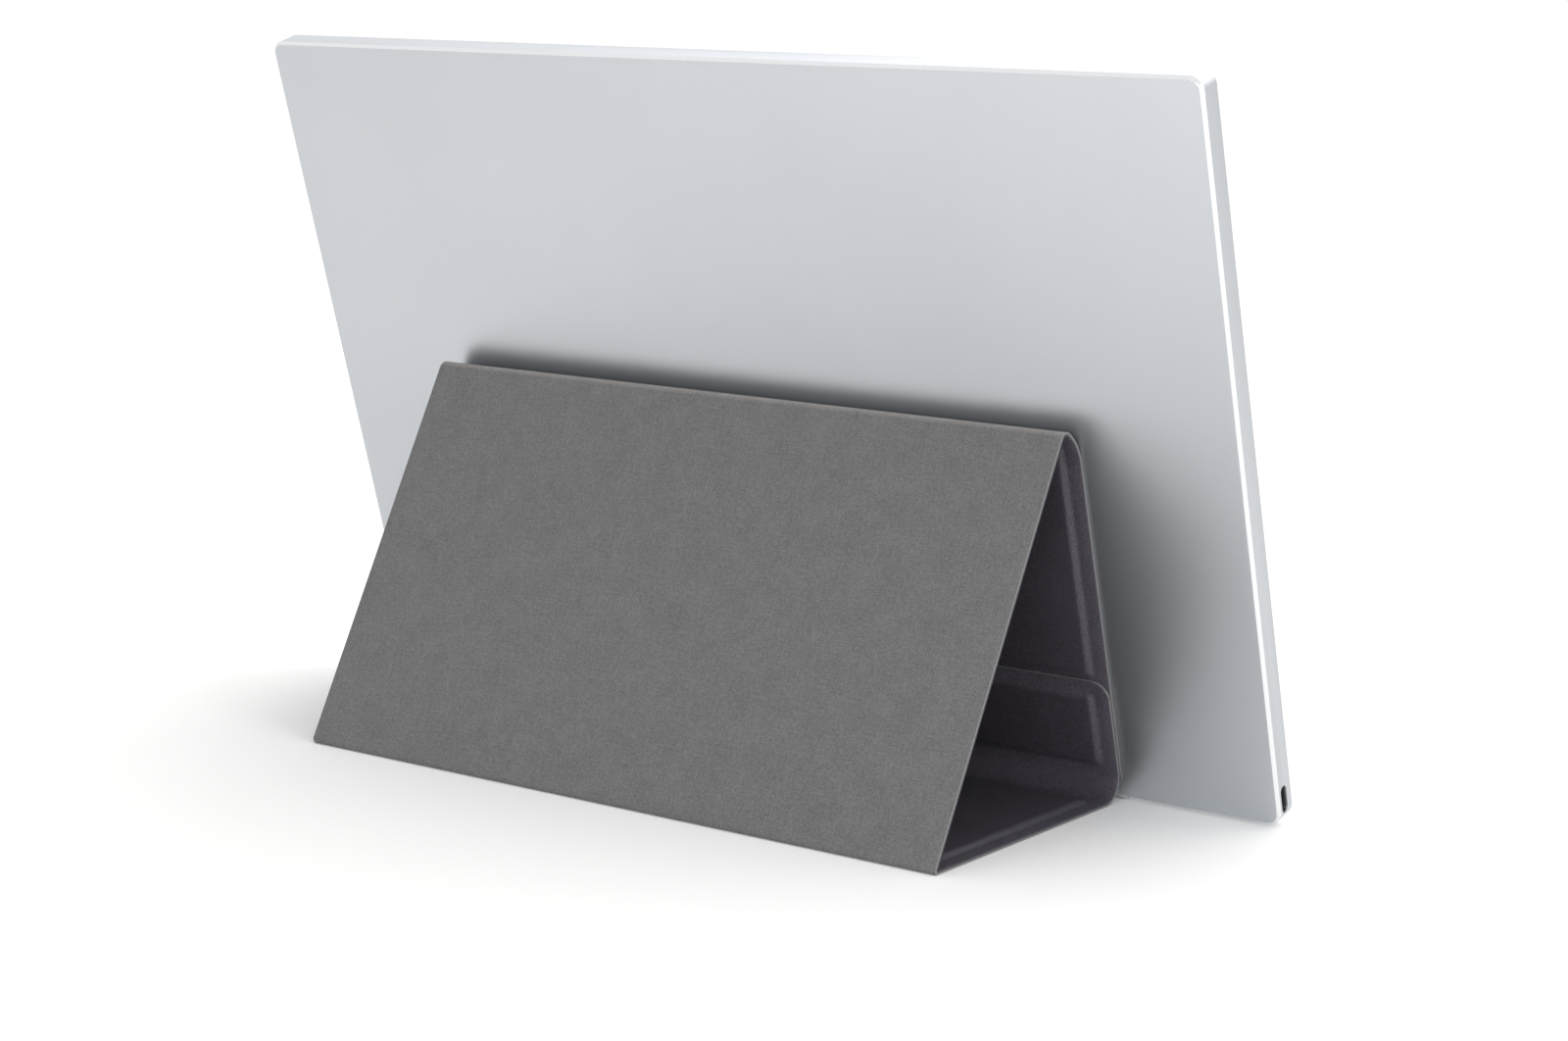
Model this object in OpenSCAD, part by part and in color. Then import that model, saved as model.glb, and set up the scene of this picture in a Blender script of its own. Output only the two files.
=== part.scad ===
// Portable monitor with a folding cover that stands it up.
// The monitor leans back on its cover, which is folded into a triangular tube behind it.
// X runs along the width, Y from the screen side to the back, Z up, and Z = 0 is the table.
// All sizes are in millimetres. The origin is under the middle of the whole object.

/* [Monitor housing] */
// Width of the monitor
monitor_w = 359.5; // [340:0.5:380]
// Height of the monitor, measured up its own face
monitor_h = 240.2; // [232:0.2:260]
// Thickness of the monitor
monitor_t = 8.3; // [8.2:0.1:10]
// Lean of the monitor back from upright, in degrees
lean = 17; // [13:0.5:22]
// Radius of the housing's corners, seen from behind
corner_r = 4.5; // [3:0.1:8]
// Width of the polished chamfer round the back
chamfer_w = 1.0; // [0.4:0.1:1.4]
// Thickness of the housing's back plate
back_t = 1.0; // [0.8:0.1:1.2]
// Thickness of the housing's side walls
wall_t = 1.3; // [1:0.1:1.6]

/* [Display] */
// Housing beside the picture, at each side
picture_side = 7.45; // [7:0.05:12]
// Housing above the picture
picture_top = 8.0; // [7:0.1:9]
// Housing below the picture
picture_foot = 16.8; // [15:0.1:24]
// Thickness of the front bezel
bezel_t = 0.9; // [0.7:0.1:1]
// How far the bezel lies below the housing's rim
bezel_recess = 0.1; // [0:0.05:0.3]
// Gap between the bezel and the housing's wall
bezel_gap = 0.1; // [0.05:0.05:0.3]
// Width of the bevel round the bezel's window
window_bevel = 0.4; // [0.2:0.1:0.6]
// Thickness of the adhesive tape behind the bezel
tape_t = 0.15; // [0.1:0.05:0.2]
// Thickness of the display glass
glass_t = 1.0; // [0.7:0.1:1.1]
// Glass beyond the picture at the sides and the top
glass_margin = 2.2; // [1.5:0.1:2.5]
// Glass beyond the picture at the bottom, where the drivers sit
glass_foot = 3.2; // [2.5:0.1:3.6]
// Thickness of the stack of diffuser films
films_t = 0.4; // [0.3:0.05:0.5]
// Thickness of the light guide
guide_t = 0.8; // [0.6:0.1:0.9]
// Thickness of the reflector sheet
reflector_t = 0.15; // [0.1:0.05:0.2]
// Thickness of the metal tray that holds the display
tray_t = 0.3; // [0.2:0.05:0.4]
// Number of lamps on the lighting strip
lamp_count = 36; // [12:1:48]

/* [Electronics] */
// Height of the sockets' middle above the housing's bottom
port_up = 8.0; // [7:0.1:9]
// Depth of the sockets' middle from the back plane
port_depth = 3.8; // [3.6:0.1:4]
// Long side of a socket's shell
port_w = 8.94; // [8.94:0.01:9.2]
// Short side of a socket's shell
port_h = 3.26; // [3.1:0.01:3.4]
// Wall of a socket's shell
port_wall = 0.3; // [0.2:0.05:0.35]
// Length of a socket's shell
port_len = 7.5; // [6.5:0.1:9]
// How far a socket's mouth lies inside the housing's side
port_recess = 0.3; // [0.1:0.05:0.6]
// Gap between a socket's shell and the hole it looks out of
port_gap = 0.15; // [0.1:0.05:0.25]
// Thickness of the circuit boards
board_t = 0.6; // [0.5:0.05:0.8]
// Depth of the circuit boards' front face from the back plane
board_depth = 3.5; // [3.4:0.05:3.6]
// Gap between the circuit boards and the housing's wall
board_gap = 0.3; // [0.2:0.05:0.5]
// Width of the main board
main_board_w = 46; // [44:0.5:48]
// Height of the main board
main_board_h = 70; // [66:0.5:90]
// Width of the side board
side_board_w = 26; // [22:0.5:40]
// Height of the side board
side_board_h = 52; // [50:0.5:80]
// Width of the driver board behind the display's lower edge
driver_board_w = 210; // [200:1:230]
// Height of the driver board
driver_board_h = 9; // [8:0.2:12]
// Radius of a board screw's shank
screw_r = 0.7; // [0.6:0.05:0.8]
// Radius of a board screw's head
screw_head_r = 1.6; // [1.3:0.05:1.9]

/* [Brightness buttons] */
// Length of a button
button_len = 9.0; // [7:0.1:10]
// Width of a button
button_w = 2.2; // [1.8:0.1:2.6]
// How far a button stands out of the housing
button_proud = 0.4; // [0.2:0.05:0.6]
// Travel of a button
button_travel = 0.3; // [0.2:0.05:0.4]
// Gap round a button in its slot
button_gap = 0.15; // [0.1:0.05:0.25]
// Height of the lower button's middle above the housing's bottom
button_up = 26; // [22:0.5:30]
// Distance between the middles of the two buttons
button_pitch = 14; // [12:0.5:16]

/* [Foot and magnets] */
// Radius of the round rubber foot
foot_r = 1.9; // [1.7:0.05:2.1]
// How far the foot stands out below the housing
foot_proud = 1.0; // [0.7:0.05:1.2]
// Length of the foot
foot_len = 252; // [200:1:260]
// Glue gap round the foot
foot_gap = 0.05; // [0.02:0.01:0.1]
// Length of a holding magnet
magnet_len = 40; // [20:1:50]
// Width of a holding magnet
magnet_w = 8; // [6:0.5:10]
// Thickness of a holding magnet in the housing
magnet_t = 1.2; // [0.8:0.1:1.4]
// Distance from the side of the cover's boards to the outermost magnets
magnet_side = 3.75; // [3:0.25:12]
// Height of the flap's row of magnets above the housing's bottom
magnet_flap_up = 27; // [25:0.5:29]
// Height of the lower row of magnets behind the attached panel
magnet_low_up = 60; // [56:1:66]
// Distance from the upper row of magnets to the bend at the attached panel's end
magnet_inset = 10.8; // [9:0.1:18]

/* [Cover] */
// Length of the cover along the monitor's width
cover_len = 248.5; // [200:0.5:300]
// Sideways place of the cover on the monitor
cover_shift = -0.75; // [-20:0.25:20]
// Thickness of the woven outer skin
skin_t = 0.6; // [0.4:0.05:0.8]
// Thickness of the grained inner lining
lining_t = 0.6; // [0.4:0.05:0.8]
// Thickness of the stiffening boards
stiff_t = 1.2; // [0.8:0.1:1.6]
// Width of the thin border outside the boards
border_w = 7.5; // [5:0.5:10]
// Width of the lining's slope beside a board
slope_w = 2.0; // [1:0.1:3]
// Gap round a board inside its pocket
pocket_gap = 0.1; // [0:0.05:0.3]
// Space between a board and the bend beside it
bend_space = 4.0; // [3:0.5:6]
// Gap between the cover and the monitor's back
cover_seat = 0.15; // [0.05:0.05:0.3]
// Radius of the corners at the cover's free edges
edge_r = 6; // [2:0.5:8]

/* [Cover panels] */
// Height of the attached panel's lower edge above the housing's bottom
attach_up = 3.0; // [2:0.2:5]
// Flat length of the attached panel
attach_len = 113.8; // [112:0.2:130]
// Flat length of the strut panel, to the corner that it makes with the base
strut_len = 136.9; // [130:0.2:150]
// Flat length of the inner flap
flap_len = 31.3; // [30:0.1:33]
// Gap between the flap and the attached panel that it lies on
flap_gap = 0.2; // [0.1:0.05:0.4]
// Radius of the gentle bend that lifts the cover off the monitor's back
lift_r = 17; // [12:0.5:24]
// Angle of that gentle bend, in degrees
lift_turn = 45; // [30:1:60]
// Outer radius of the fold along the top of the stand
apex_r = 3.2; // [2.2:0.1:5]
// Outer radius of the fold between the strut and the base
base_fold_r = 1.5; // [1.4:0.1:3]
// Outer radius of the spine, which bends round the monitor's edge when the cover is closed
spine_r = 8.0; // [6:0.25:9]

/* [Hidden] */
$fn = 64;
eps = 0.01;

// Depths inside the monitor are measured from its back plane towards the screen.
bezel_front = monitor_t - bezel_recess;
bezel_back = bezel_front - bezel_t;
glass_front = bezel_back - tape_t;
glass_back = glass_front - glass_t;
films_back = glass_back - films_t;
guide_back = films_back - guide_t;
reflector_back = guide_back - reflector_t;
tray_back = reflector_back - tray_t;
board_back = board_depth - board_t;

// Outlines inside the monitor, seen from behind: x is along the width, y up the face.
cavity_w = monitor_w - 2 * wall_t;
cavity_r = corner_r - wall_t;
picture_w = monitor_w - 2 * picture_side;
picture_h = monitor_h - picture_top - picture_foot;
picture_up = picture_foot;
glass_w = picture_w + 2 * glass_margin;
glass_low = picture_up - glass_foot;
glass_high = picture_up + picture_h + glass_margin;
tray_margin = 0.9;
tray_w = glass_w + 2 * tray_margin;
tray_low = glass_low - tray_margin;
tray_high = glass_high + tray_margin;
frame_w = 2.0;
lightbox_w = tray_w - 2 * tray_t - 2 * frame_w;
lightbox_low = tray_low + tray_t + frame_w;
lightbox_high = tray_high - tray_t - frame_w;
window_overlap = 0.4;

// The boards stand in the lower corners, beside their sockets.
main_board_x = -cavity_w / 2 + board_gap;
side_board_x = cavity_w / 2 - board_gap;
board_low = 2.0;
notch_gap = 0.4;
boss_r = 2.2;
boss_floor = 0.2;
thread_gap = 0.05;
screw_clearance = 0.25;
screw_head_t = 0.6;
screw_len = 1.8;
main_screws = [[7, 18], [39, 18], [7, 62], [39, 62]];
side_screws = [[21, 6], [21, 46]];
switch_size = [2.0, 4.6, 1.2];
switch_gap = 0.1;
switch_notch = 3;
flange_t = 0.6;
flange_rim = 0.9;
flange_gap = 0.1;

// The foot lies in a groove along the bottom edge of the back, and carries the monitor.
foot_y = -foot_r;
foot_z = foot_r - foot_proud;
channel_wall = 1.0;
corner_z = foot_r * (1 - sin(lean)) - foot_z * cos(lean);

// A point (depth off the back plane, height up the back), as [y, z] in the object's frame.
function on_back(off, up) = [
  corner_y + up * sin(lean) + off * cos(lean),
  corner_z + up * cos(lean) - off * sin(lean)
];
// The two measures of a point [y, z] off and up the monitor's back.
function off_back(p) = (p.x - corner_y) * cos(lean) - (p.y - corner_z) * sin(lean);
function up_back(p) = (p.x - corner_y) * sin(lean) + (p.y - corner_z) * cos(lean);
// A unit vector at an angle, and the length of a vector.
function heading(a) = [cos(a), sin(a)];
function arc_length(r, turn) = r * turn * PI / 180;
// The point about which a panel turns, so that its fold lies flat when it is fully open:
// from is where the panel starts, to is where it starts once open, turn is the angle.
function fold_pivot(from, to, turn) =
  (from + to) / 2 + [from.y - to.y, to.x - from.x] / (2 * tan(turn / 2));

// The cover's folded line, from the attached panel over the top, down and round to the flap.
sheet_t = skin_t + lining_t;
attach_angle = 90 - lean;
seat_line = cover_seat;
flap_line = cover_seat + sheet_t + flap_gap;
attach_end = [seat_line, attach_up + attach_len];
lift_end = attach_end + lift_r * [1 - cos(lift_turn), sin(lift_turn)];
apex_off_up = lift_end + apex_r * [cos(lift_turn), -sin(lift_turn)];
lift_off_up = attach_end + [lift_r, 0];

// The strut is tangent to the apex fold and meets the table at the base corner.
// These are worked out from the housing's corner, and then shifted by corner_y.
apex_rel = [
  apex_off_up.y * sin(lean) + apex_off_up.x * cos(lean),
  corner_z + apex_off_up.y * cos(lean) - apex_off_up.x * sin(lean)
];
reach = sqrt(strut_len ^ 2 + apex_r ^ 2 - apex_rel.y ^ 2);
strut_angle = atan2(-apex_rel.y, reach) - atan2(apex_r, strut_len);
apex_turn = attach_angle - lift_turn - strut_angle;
base_turn = strut_angle + 180;
spine_turn = 90 + lean;
base_tangent = base_fold_r * tan(base_turn / 2);
base_corner_rel = apex_rel.x + reach;

// The whole object is centred between the screen's lower edge and the base fold.
back_most = base_corner_rel - base_tangent + base_fold_r;
corner_y = -(back_most - monitor_t * cos(lean)) / 2;

apex_centre = on_back(apex_off_up.x, apex_off_up.y);
lift_centre = on_back(lift_off_up.x, lift_off_up.y);
base_corner = [corner_y + base_corner_rel, 0];
attach_start = on_back(seat_line, attach_up);
strut_start = apex_centre + apex_r * heading(strut_angle + 90);
strut_flat = strut_len - base_tangent;
base_start = base_corner - [base_tangent, 0];
base_fold_centre = base_start + [0, base_fold_r];
spine_centre = [
  corner_y + (flap_line + spine_r + (spine_r - corner_z) * sin(lean)) / cos(lean),
  spine_r
];
base_flat = base_start.x - spine_centre.x;
flap_start = on_back(flap_line, up_back(spine_centre));

// The hinge points of the three folds, for the joints.
whole_turn = apex_turn + lift_turn;
fold_len = arc_length(lift_r, lift_turn) + arc_length(apex_r, apex_turn);
attach_stop = on_back(seat_line, attach_up + attach_len);
apex_pivot = fold_pivot(strut_start, attach_stop + fold_len * heading(attach_angle), whole_turn);
strut_stop = strut_start + strut_flat * heading(strut_angle);
base_pivot = fold_pivot(
  base_start, strut_stop + arc_length(base_fold_r, base_turn) * heading(strut_angle), base_turn);
base_stop = [spine_centre.x, 0];
spine_pivot = fold_pivot(flap_start, base_stop - [arc_length(spine_r, spine_turn), 0], spine_turn);

// The stretches of each panel that hold a stiffening board, from the panel's start.
pad_ease = 0.2;
shoulder = slope_w + pad_ease;
nest_space = 1.2;
attach_zone = [
  flap_start_up() + flap_len - attach_up + shoulder + nest_space, attach_len - bend_space
];
strut_zone = [bend_space, strut_flat - bend_space - shoulder];
base_zone = [bend_space, base_flat - bend_space];
flap_zone = [bend_space, flap_len - border_w + 1];
function flap_start_up() = up_back(flap_start);

echo(corner_y = corner_y, corner_z = corner_z, back_most = back_most + corner_y);
echo(apex_pivot = apex_pivot, base_pivot = base_pivot, spine_pivot = spine_pivot);
echo(whole_turn = whole_turn, base_turn = base_turn, spine_turn = spine_turn);
echo(strut_angle = strut_angle, strut_flat = strut_flat, base_flat = base_flat);
echo(apex_centre = apex_centre, lift_centre = lift_centre, strut_start = strut_start);
echo(base_start = base_start, spine_centre = spine_centre, flap_start = flap_start);

// Colours
silver = [0.80, 0.81, 0.83];
black = [0.05, 0.05, 0.06];
glass_black = [0.02, 0.02, 0.03];
weave_grey = [0.45, 0.45, 0.46];
lining_grey = [0.17, 0.16, 0.19];
board_green = [0.05, 0.22, 0.13];
chip_black = [0.09, 0.09, 0.10];
film_white = [0.92, 0.93, 0.94];
steel = [0.62, 0.63, 0.65];
amber_film = [0.66, 0.42, 0.10];
rubber_grey = [0.62, 0.63, 0.66];
card_brown = [0.40, 0.34, 0.27];

// ---------- Shared forms ----------

// Stands its children, drawn upright in the monitor's own frame, where the monitor leans.
module on_monitor() {
  translate([0, corner_y, corner_z]) rotate([-lean, 0, 0]) children();
}

// Gives a flat outline (x along the width, y up the face) a thickness between two depths.
module layer(near, far) {
  on_monitor() translate([0, -near, 0]) rotate([90, 0, 0]) linear_extrude(far - near) children();
}

// A rectangle with round corners between two x and two y values.
module rounded(x0, x1, y0, y1, r) {
  translate([x0 + r, y0]) square([x1 - x0 - 2 * r, y1 - y0]);
  translate([x0, y0 + r]) square([x1 - x0, y1 - y0 - 2 * r]);
  for (x = [x0 + r, x1 - r], y = [y0 + r, y1 - r]) translate([x, y]) circle(r);
}

// A plain rectangle between two x and two y values.
module span(x0, x1, y0, y1) {
  translate([x0, y0]) square([x1 - x0, y1 - y0]);
}

// A slot with round ends, along y, centred on the origin.
module pill(length, width) {
  square([width, length - width], center = true);
  for (s = [-1, 1]) translate([0, s * (length - width) / 2]) circle(width / 2);
}

// A pill whose long side runs up the housing's side, pushed from one x to another.
module side_pill(length, width, x0, x1, up, depth) {
  on_monitor() translate([min(x0, x1), -depth, up]) rotate([90, 0, 90])
    linear_extrude(abs(x1 - x0)) pill(length, width);
}

// ---------- Housing ----------

// The housing's outer form: a rounded block whose back edge is chamfered all round.
module housing_block() {
  layer(chamfer_w, monitor_t) rounded(-monitor_w / 2, monitor_w / 2, 0, monitor_h, corner_r);
  half = monitor_w / 2;
  on_monitor() {
    translate([corner_r - half, 0, 0]) rotate([90, 0, 90]) linear_extrude(monitor_w - 2 * corner_r)
      polygon([[-chamfer_w, 0], [0, chamfer_w], [0, monitor_h - chamfer_w], [-chamfer_w, monitor_h]]);
    translate([0, 0, corner_r]) linear_extrude(monitor_h - 2 * corner_r)
      polygon([[-half, -chamfer_w], [chamfer_w - half, 0], [half - chamfer_w, 0], [half, -chamfer_w]]);
    for (x = [corner_r - half, half - corner_r], z = [corner_r, monitor_h - corner_r])
      translate([x, -chamfer_w, z]) rotate([-90, 0, 0])
        cylinder(h = chamfer_w, r1 = corner_r, r2 = corner_r - chamfer_w);
  }
}

// The foot's form, a rod with round ends lying along the housing's lower back edge.
module foot_rod(r, length) {
  on_monitor() translate([0, foot_y, foot_z]) {
    rotate([0, 90, 0]) cylinder(h = length - 2 * r, r = r, center = true);
    for (s = [-1, 1]) translate([s * (length / 2 - r), 0, 0]) sphere(r);
  }
}

// Places its children at each board screw.
module at_screws() {
  for (p = main_screws) translate([main_board_x + p.x, board_low + p.y]) children();
  for (p = side_screws) translate([side_board_x - p.x, board_low + p.y]) children();
}

// The metal back shell with its side walls, sockets' and buttons' openings and foot groove.
module rear_housing() color(silver) {
  difference() {
    union() {
      difference() {
        housing_block();
        layer(back_t, monitor_t + 1)
          rounded(-cavity_w / 2, cavity_w / 2, wall_t, monitor_h - wall_t, cavity_r);
      }
      layer(back_t - eps, 2 * foot_r + foot_gap + channel_wall)
        span(-foot_len / 2 - channel_wall, foot_len / 2 + channel_wall,
          wall_t - eps, foot_z + foot_r + foot_gap + channel_wall);
      layer(back_t - eps, board_back) at_screws() circle(boss_r);
      rest_ribs();
    }
    for (s = [-1, 1])
      side_pill(port_w + 2 * port_gap, port_h + 2 * port_gap,
        s * (monitor_w / 2 + 1), s * (cavity_w / 2 - 1), port_up, port_depth);
    for (up = [button_up, button_up + button_pitch])
      side_pill(button_len + 2 * button_gap, button_w + 2 * button_gap,
        monitor_w / 2 + 1, cavity_w / 2 - 1, up, port_depth);
    layer(back_t + boss_floor, board_back + 1) at_screws() circle(screw_r + thread_gap);
    foot_rod(foot_r + foot_gap, foot_len + 2 * foot_gap);
  }
}

// Thin ribs on the back plate that the display's tray rests on.
rib_t = 1.2;
rib_low = 84;
rib_pitch = 40;
rib_inset = 6;
rib_top_inset = 8;
rib_columns = [-105, -35, 35, 105];
module rest_ribs() {
  layer(back_t - eps, tray_back) {
    side = tray_w / 2 - rib_inset;
    for (s = [-1, 1])
      span(s * side - rib_t / 2, s * side + rib_t / 2, rib_low, tray_high - rib_inset);
    for (y = [rib_low + rib_pitch, rib_low + 2 * rib_pitch, tray_high - rib_top_inset])
      span(-side, side, y, y + rib_t);
    for (x = rib_columns)
      span(x - rib_t / 2, x + rib_t / 2, rib_low + rib_pitch, tray_high - rib_top_inset);
  }
}

// The rubber foot that keeps the monitor from sliding.
module foot_strip() color(rubber_grey) foot_rod(foot_r, foot_len);

// ---------- Display ----------

// The black frame round the picture, with a bevel round its window.
module front_bezel() color(black) {
  inset = wall_t + bezel_gap;
  half = picture_w / 2;
  top = picture_up + picture_h;
  difference() {
    layer(bezel_back, bezel_front)
      rounded(-monitor_w / 2 + inset, monitor_w / 2 - inset, inset, monitor_h - inset,
        corner_r - inset);
    layer(bezel_back - 1, bezel_front + 1) span(-half, half, picture_up, top);
    on_monitor() {
      b = window_bevel;
      translate([-half - b, 0, 0]) rotate([90, 0, 90]) linear_extrude(2 * half + 2 * b)
        polygon([[-bezel_front + b, picture_up], [-bezel_front - 1, picture_up - b - 1],
          [-bezel_front - 1, picture_up]]);
      translate([-half - b, 0, 0]) rotate([90, 0, 90]) linear_extrude(2 * half + 2 * b)
        polygon([[-bezel_front + b, top], [-bezel_front - 1, top],
          [-bezel_front - 1, top + b + 1]]);
      for (s = [-1, 1]) translate([0, 0, picture_up - b]) linear_extrude(picture_h + 2 * b)
        polygon([[s * half, -bezel_front + b], [s * half, -bezel_front - 1],
          [s * (half + b + 1), -bezel_front - 1]]);
    }
  }
}

// The double-sided tape that bonds the bezel to the glass.
module bezel_tape() color(black)
  layer(glass_front, bezel_back) difference() {
    span(-glass_w / 2, glass_w / 2, glass_low, glass_high);
    span(-picture_w / 2 - window_overlap, picture_w / 2 + window_overlap,
      picture_up - window_overlap, picture_up + picture_h + window_overlap);
  }

module lcd_glass() color(glass_black)
  layer(glass_back, glass_front) span(-glass_w / 2, glass_w / 2, glass_low, glass_high);

// The stack of diffuser and prism films behind the glass.
module diffuser_films() color(film_white)
  layer(films_back, glass_back)
    span(-lightbox_w / 2, lightbox_w / 2, lightbox_low, lightbox_high);

lamp_strip_t = 0.3;
lamp_t = 0.6;
lamp_w = 3.0;
// The clear plate that spreads the lamps' light behind the picture.
module light_guide() color([0.80, 0.88, 0.92])
  layer(guide_back, films_back)
    span(-lightbox_w / 2, lightbox_w / 2, lightbox_low + lamp_strip_t + lamp_t, lightbox_high);

module reflector_sheet() color(film_white)
  layer(reflector_back, guide_back)
    span(-lightbox_w / 2, lightbox_w / 2, lightbox_low, lightbox_high);

// The plastic frame that holds the films and carries the glass.
module panel_frame() color([0.88, 0.88, 0.86])
  layer(reflector_back, glass_back) difference() {
    span(-tray_w / 2 + tray_t, tray_w / 2 - tray_t, tray_low + tray_t, tray_high - tray_t);
    span(-lightbox_w / 2, lightbox_w / 2, lightbox_low, lightbox_high);
  }

// The thin metal tray behind the display.
module panel_tray() color(steel) {
  layer(tray_back, reflector_back) span(-tray_w / 2, tray_w / 2, tray_low, tray_high);
  layer(reflector_back, glass_back) difference() {
    span(-tray_w / 2, tray_w / 2, tray_low, tray_high);
    span(-tray_w / 2 + tray_t, tray_w / 2 - tray_t, tray_low + tray_t, tray_high - tray_t);
  }
}

// The strip of lamps along the light guide's lower edge.
module lighting_strip() color([0.95, 0.93, 0.75]) {
  layer(guide_back, films_back) {
    span(-lightbox_w / 2, lightbox_w / 2, lightbox_low, lightbox_low + lamp_strip_t);
    pitch = lightbox_w / lamp_count;
    for (i = [0 : lamp_count - 1])
      translate([(i + 0.5) * pitch - lightbox_w / 2, lightbox_low + lamp_strip_t])
        span(-lamp_w / 2, lamp_w / 2, 0, lamp_t);
  }
}

driver_t = 0.5;
driver_space = 0.2;
driver_front = tray_back - driver_space;
driver_back = driver_front - driver_t;
driver_rise = 3;
driver_low = tray_low + driver_rise;
plug_w = 12;
plug_t = 1.3;
plug_inset = 1;
plug_side = 2;
plug_x = -driver_board_w / 2 + plug_side;
flex_t = 0.12;
flex_setback = 0.2;
flex_space = 0.03;
flex_drop = 0.3;
flex_land = 4;
flex_w = 24;
flex_count = 4;
// The long narrow board behind the display's lower edge, with its cable socket.
module driver_board() color(board_green) {
  layer(driver_back, driver_front)
    span(-driver_board_w / 2, driver_board_w / 2, driver_low, driver_low + driver_board_h);
  layer(driver_back - plug_t, driver_back)
    span(plug_x, plug_x + plug_w, driver_low + plug_inset, driver_low + driver_board_h - plug_inset);
}

// The films that bend round the tray and join the glass to the driver board.
module driver_flexes() color(amber_film) {
  front = glass_front - flex_setback;
  rear = driver_front + flex_t + flex_space;
  r = (front - rear + flex_t) / 2;
  bottom = tray_low - flex_drop;
  pitch = driver_board_w / flex_count;
  for (i = [0 : flex_count - 1])
    on_monitor() translate([(i + 0.5) * pitch - driver_board_w / 2 - flex_w / 2, 0, 0]) {
      translate([0, -front, bottom]) cube([flex_w, flex_t, glass_low - bottom]);
      translate([0, -rear, bottom]) cube([flex_w, flex_t, driver_low + flex_land - bottom]);
      translate([0, -front + r, bottom]) rotate([90, 0, 90]) linear_extrude(flex_w)
        intersection() {
          difference() {
            circle(r);
            circle(r - flex_t);
          }
          translate([-r, -r]) square([2 * r, r]);
        }
    }
}

// ---------- Electronics ----------

// The outline of a board beside a socket, cut back round the socket's shell; s is -1 or 1.
module board_outline(s, wall_x, width, height) {
  difference() {
    intersection() {
      span(min(wall_x, wall_x - s * width), max(wall_x, wall_x - s * width),
        board_low, board_low + height);
      rounded(main_board_x, side_board_x, board_low, monitor_h - wall_t, cavity_r);
    }
    inner = monitor_w / 2 - port_recess - port_len - notch_gap;
    cut_h = port_w / 2 + notch_gap;
    span(min(s * inner, s * monitor_w / 2), max(s * inner, s * monitor_w / 2),
      port_up - cut_h, port_up + cut_h);
    at_screws() circle(screw_r + screw_clearance);
  }
}

// The main circuit board, behind the left socket seen from behind.
module main_board() color(board_green)
  layer(board_back, board_depth) board_outline(-1, main_board_x, main_board_w, main_board_h);

// The chips, coils and cable sockets on the main board's back face.
main_chips = [
  // x from the board's outer edge, height above its bottom, width, height, thickness
  [22, 44, 13, 13, 1.0], [22, 27, 8, 8, 0.9], [34, 32, 5, 7, 0.8], [34, 44, 6, 5, 0.8],
  [10, 30, 5, 5, 1.4], [10, 38, 5, 5, 1.4], [16, 8, 4, 4, 0.9], [24, 8, 5, 4, 0.8],
  [24, 62, 10, 4, 0.8], [10, 48, 3, 6, 0.7], [33, 54, 4, 4, 0.8],
];
module main_board_chips() color(chip_black)
  for (c = main_chips)
    layer(board_back - c[4], board_back)
      translate([main_board_x + c[0], board_low + c[1]]) square([c[2], c[3]], center = true);

// The folded metal can that shields the radio-noisy chips, with rows of small holes.
can_size = [17, 17, 1.5];
can_wall = 0.15;
can_hole_r = 0.6;
can_hole_pitch = 3;
module shield_can() color(steel) {
  x = main_board_x + main_chips[0][0];
  y = board_low + main_chips[0][1];
  difference() {
    layer(board_back - can_size.z, board_back)
      translate([x, y]) square([can_size.x, can_size.y], center = true);
    layer(board_back - can_size.z + can_wall, board_back + 1)
      translate([x, y])
        square([can_size.x - 2 * can_wall, can_size.y - 2 * can_wall], center = true);
    layer(board_back - can_size.z - 1, board_back - can_size.z + 1)
      for (i = [-2 : 2], j = [-2 : 2])
        translate([x + can_hole_pitch * i, y + can_hole_pitch * j]) circle(can_hole_r);
  }
}

// The small board that carries the right socket and the buttons' switches.
module side_board() color(board_green)
  layer(board_back, board_depth) difference() {
    board_outline(1, side_board_x, side_board_w, side_board_h);
    span(switch_x(), side_board_x + 1, port_up + port_w / 2 + switch_notch, board_low + side_board_h + 1);
  }

// Where the switches stand: their plungers face the buttons across the button's travel.
stem_len = 3;
stem_w = 1.4;
stem_reach = 0.8;
function button_back() = cavity_w / 2 - flange_gap - flange_t;
function stem_end() = button_back() - stem_reach;
function switch_x() = stem_end() - button_travel - switch_gap - switch_size.x;

module tact_switches() color(chip_black)
  for (up = [button_up, button_up + button_pitch])
    layer(port_depth - switch_size.z / 2, port_depth + switch_size.z / 2)
      translate([switch_x(), up - switch_size.y / 2]) square([switch_size.x, switch_size.y]);

// A metal socket shell, open towards the housing's side; s is -1 or 1.
module usb_shell(s) {
  mouth = s * (monitor_w / 2 - port_recess);
  rear = s * (monitor_w / 2 - port_recess - port_len);
  difference() {
    side_pill(port_w, port_h, mouth, rear, port_up, port_depth);
    side_pill(port_w - 2 * port_wall, port_h - 2 * port_wall,
      mouth + s, rear + s * port_wall, port_up, port_depth);
  }
}

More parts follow.
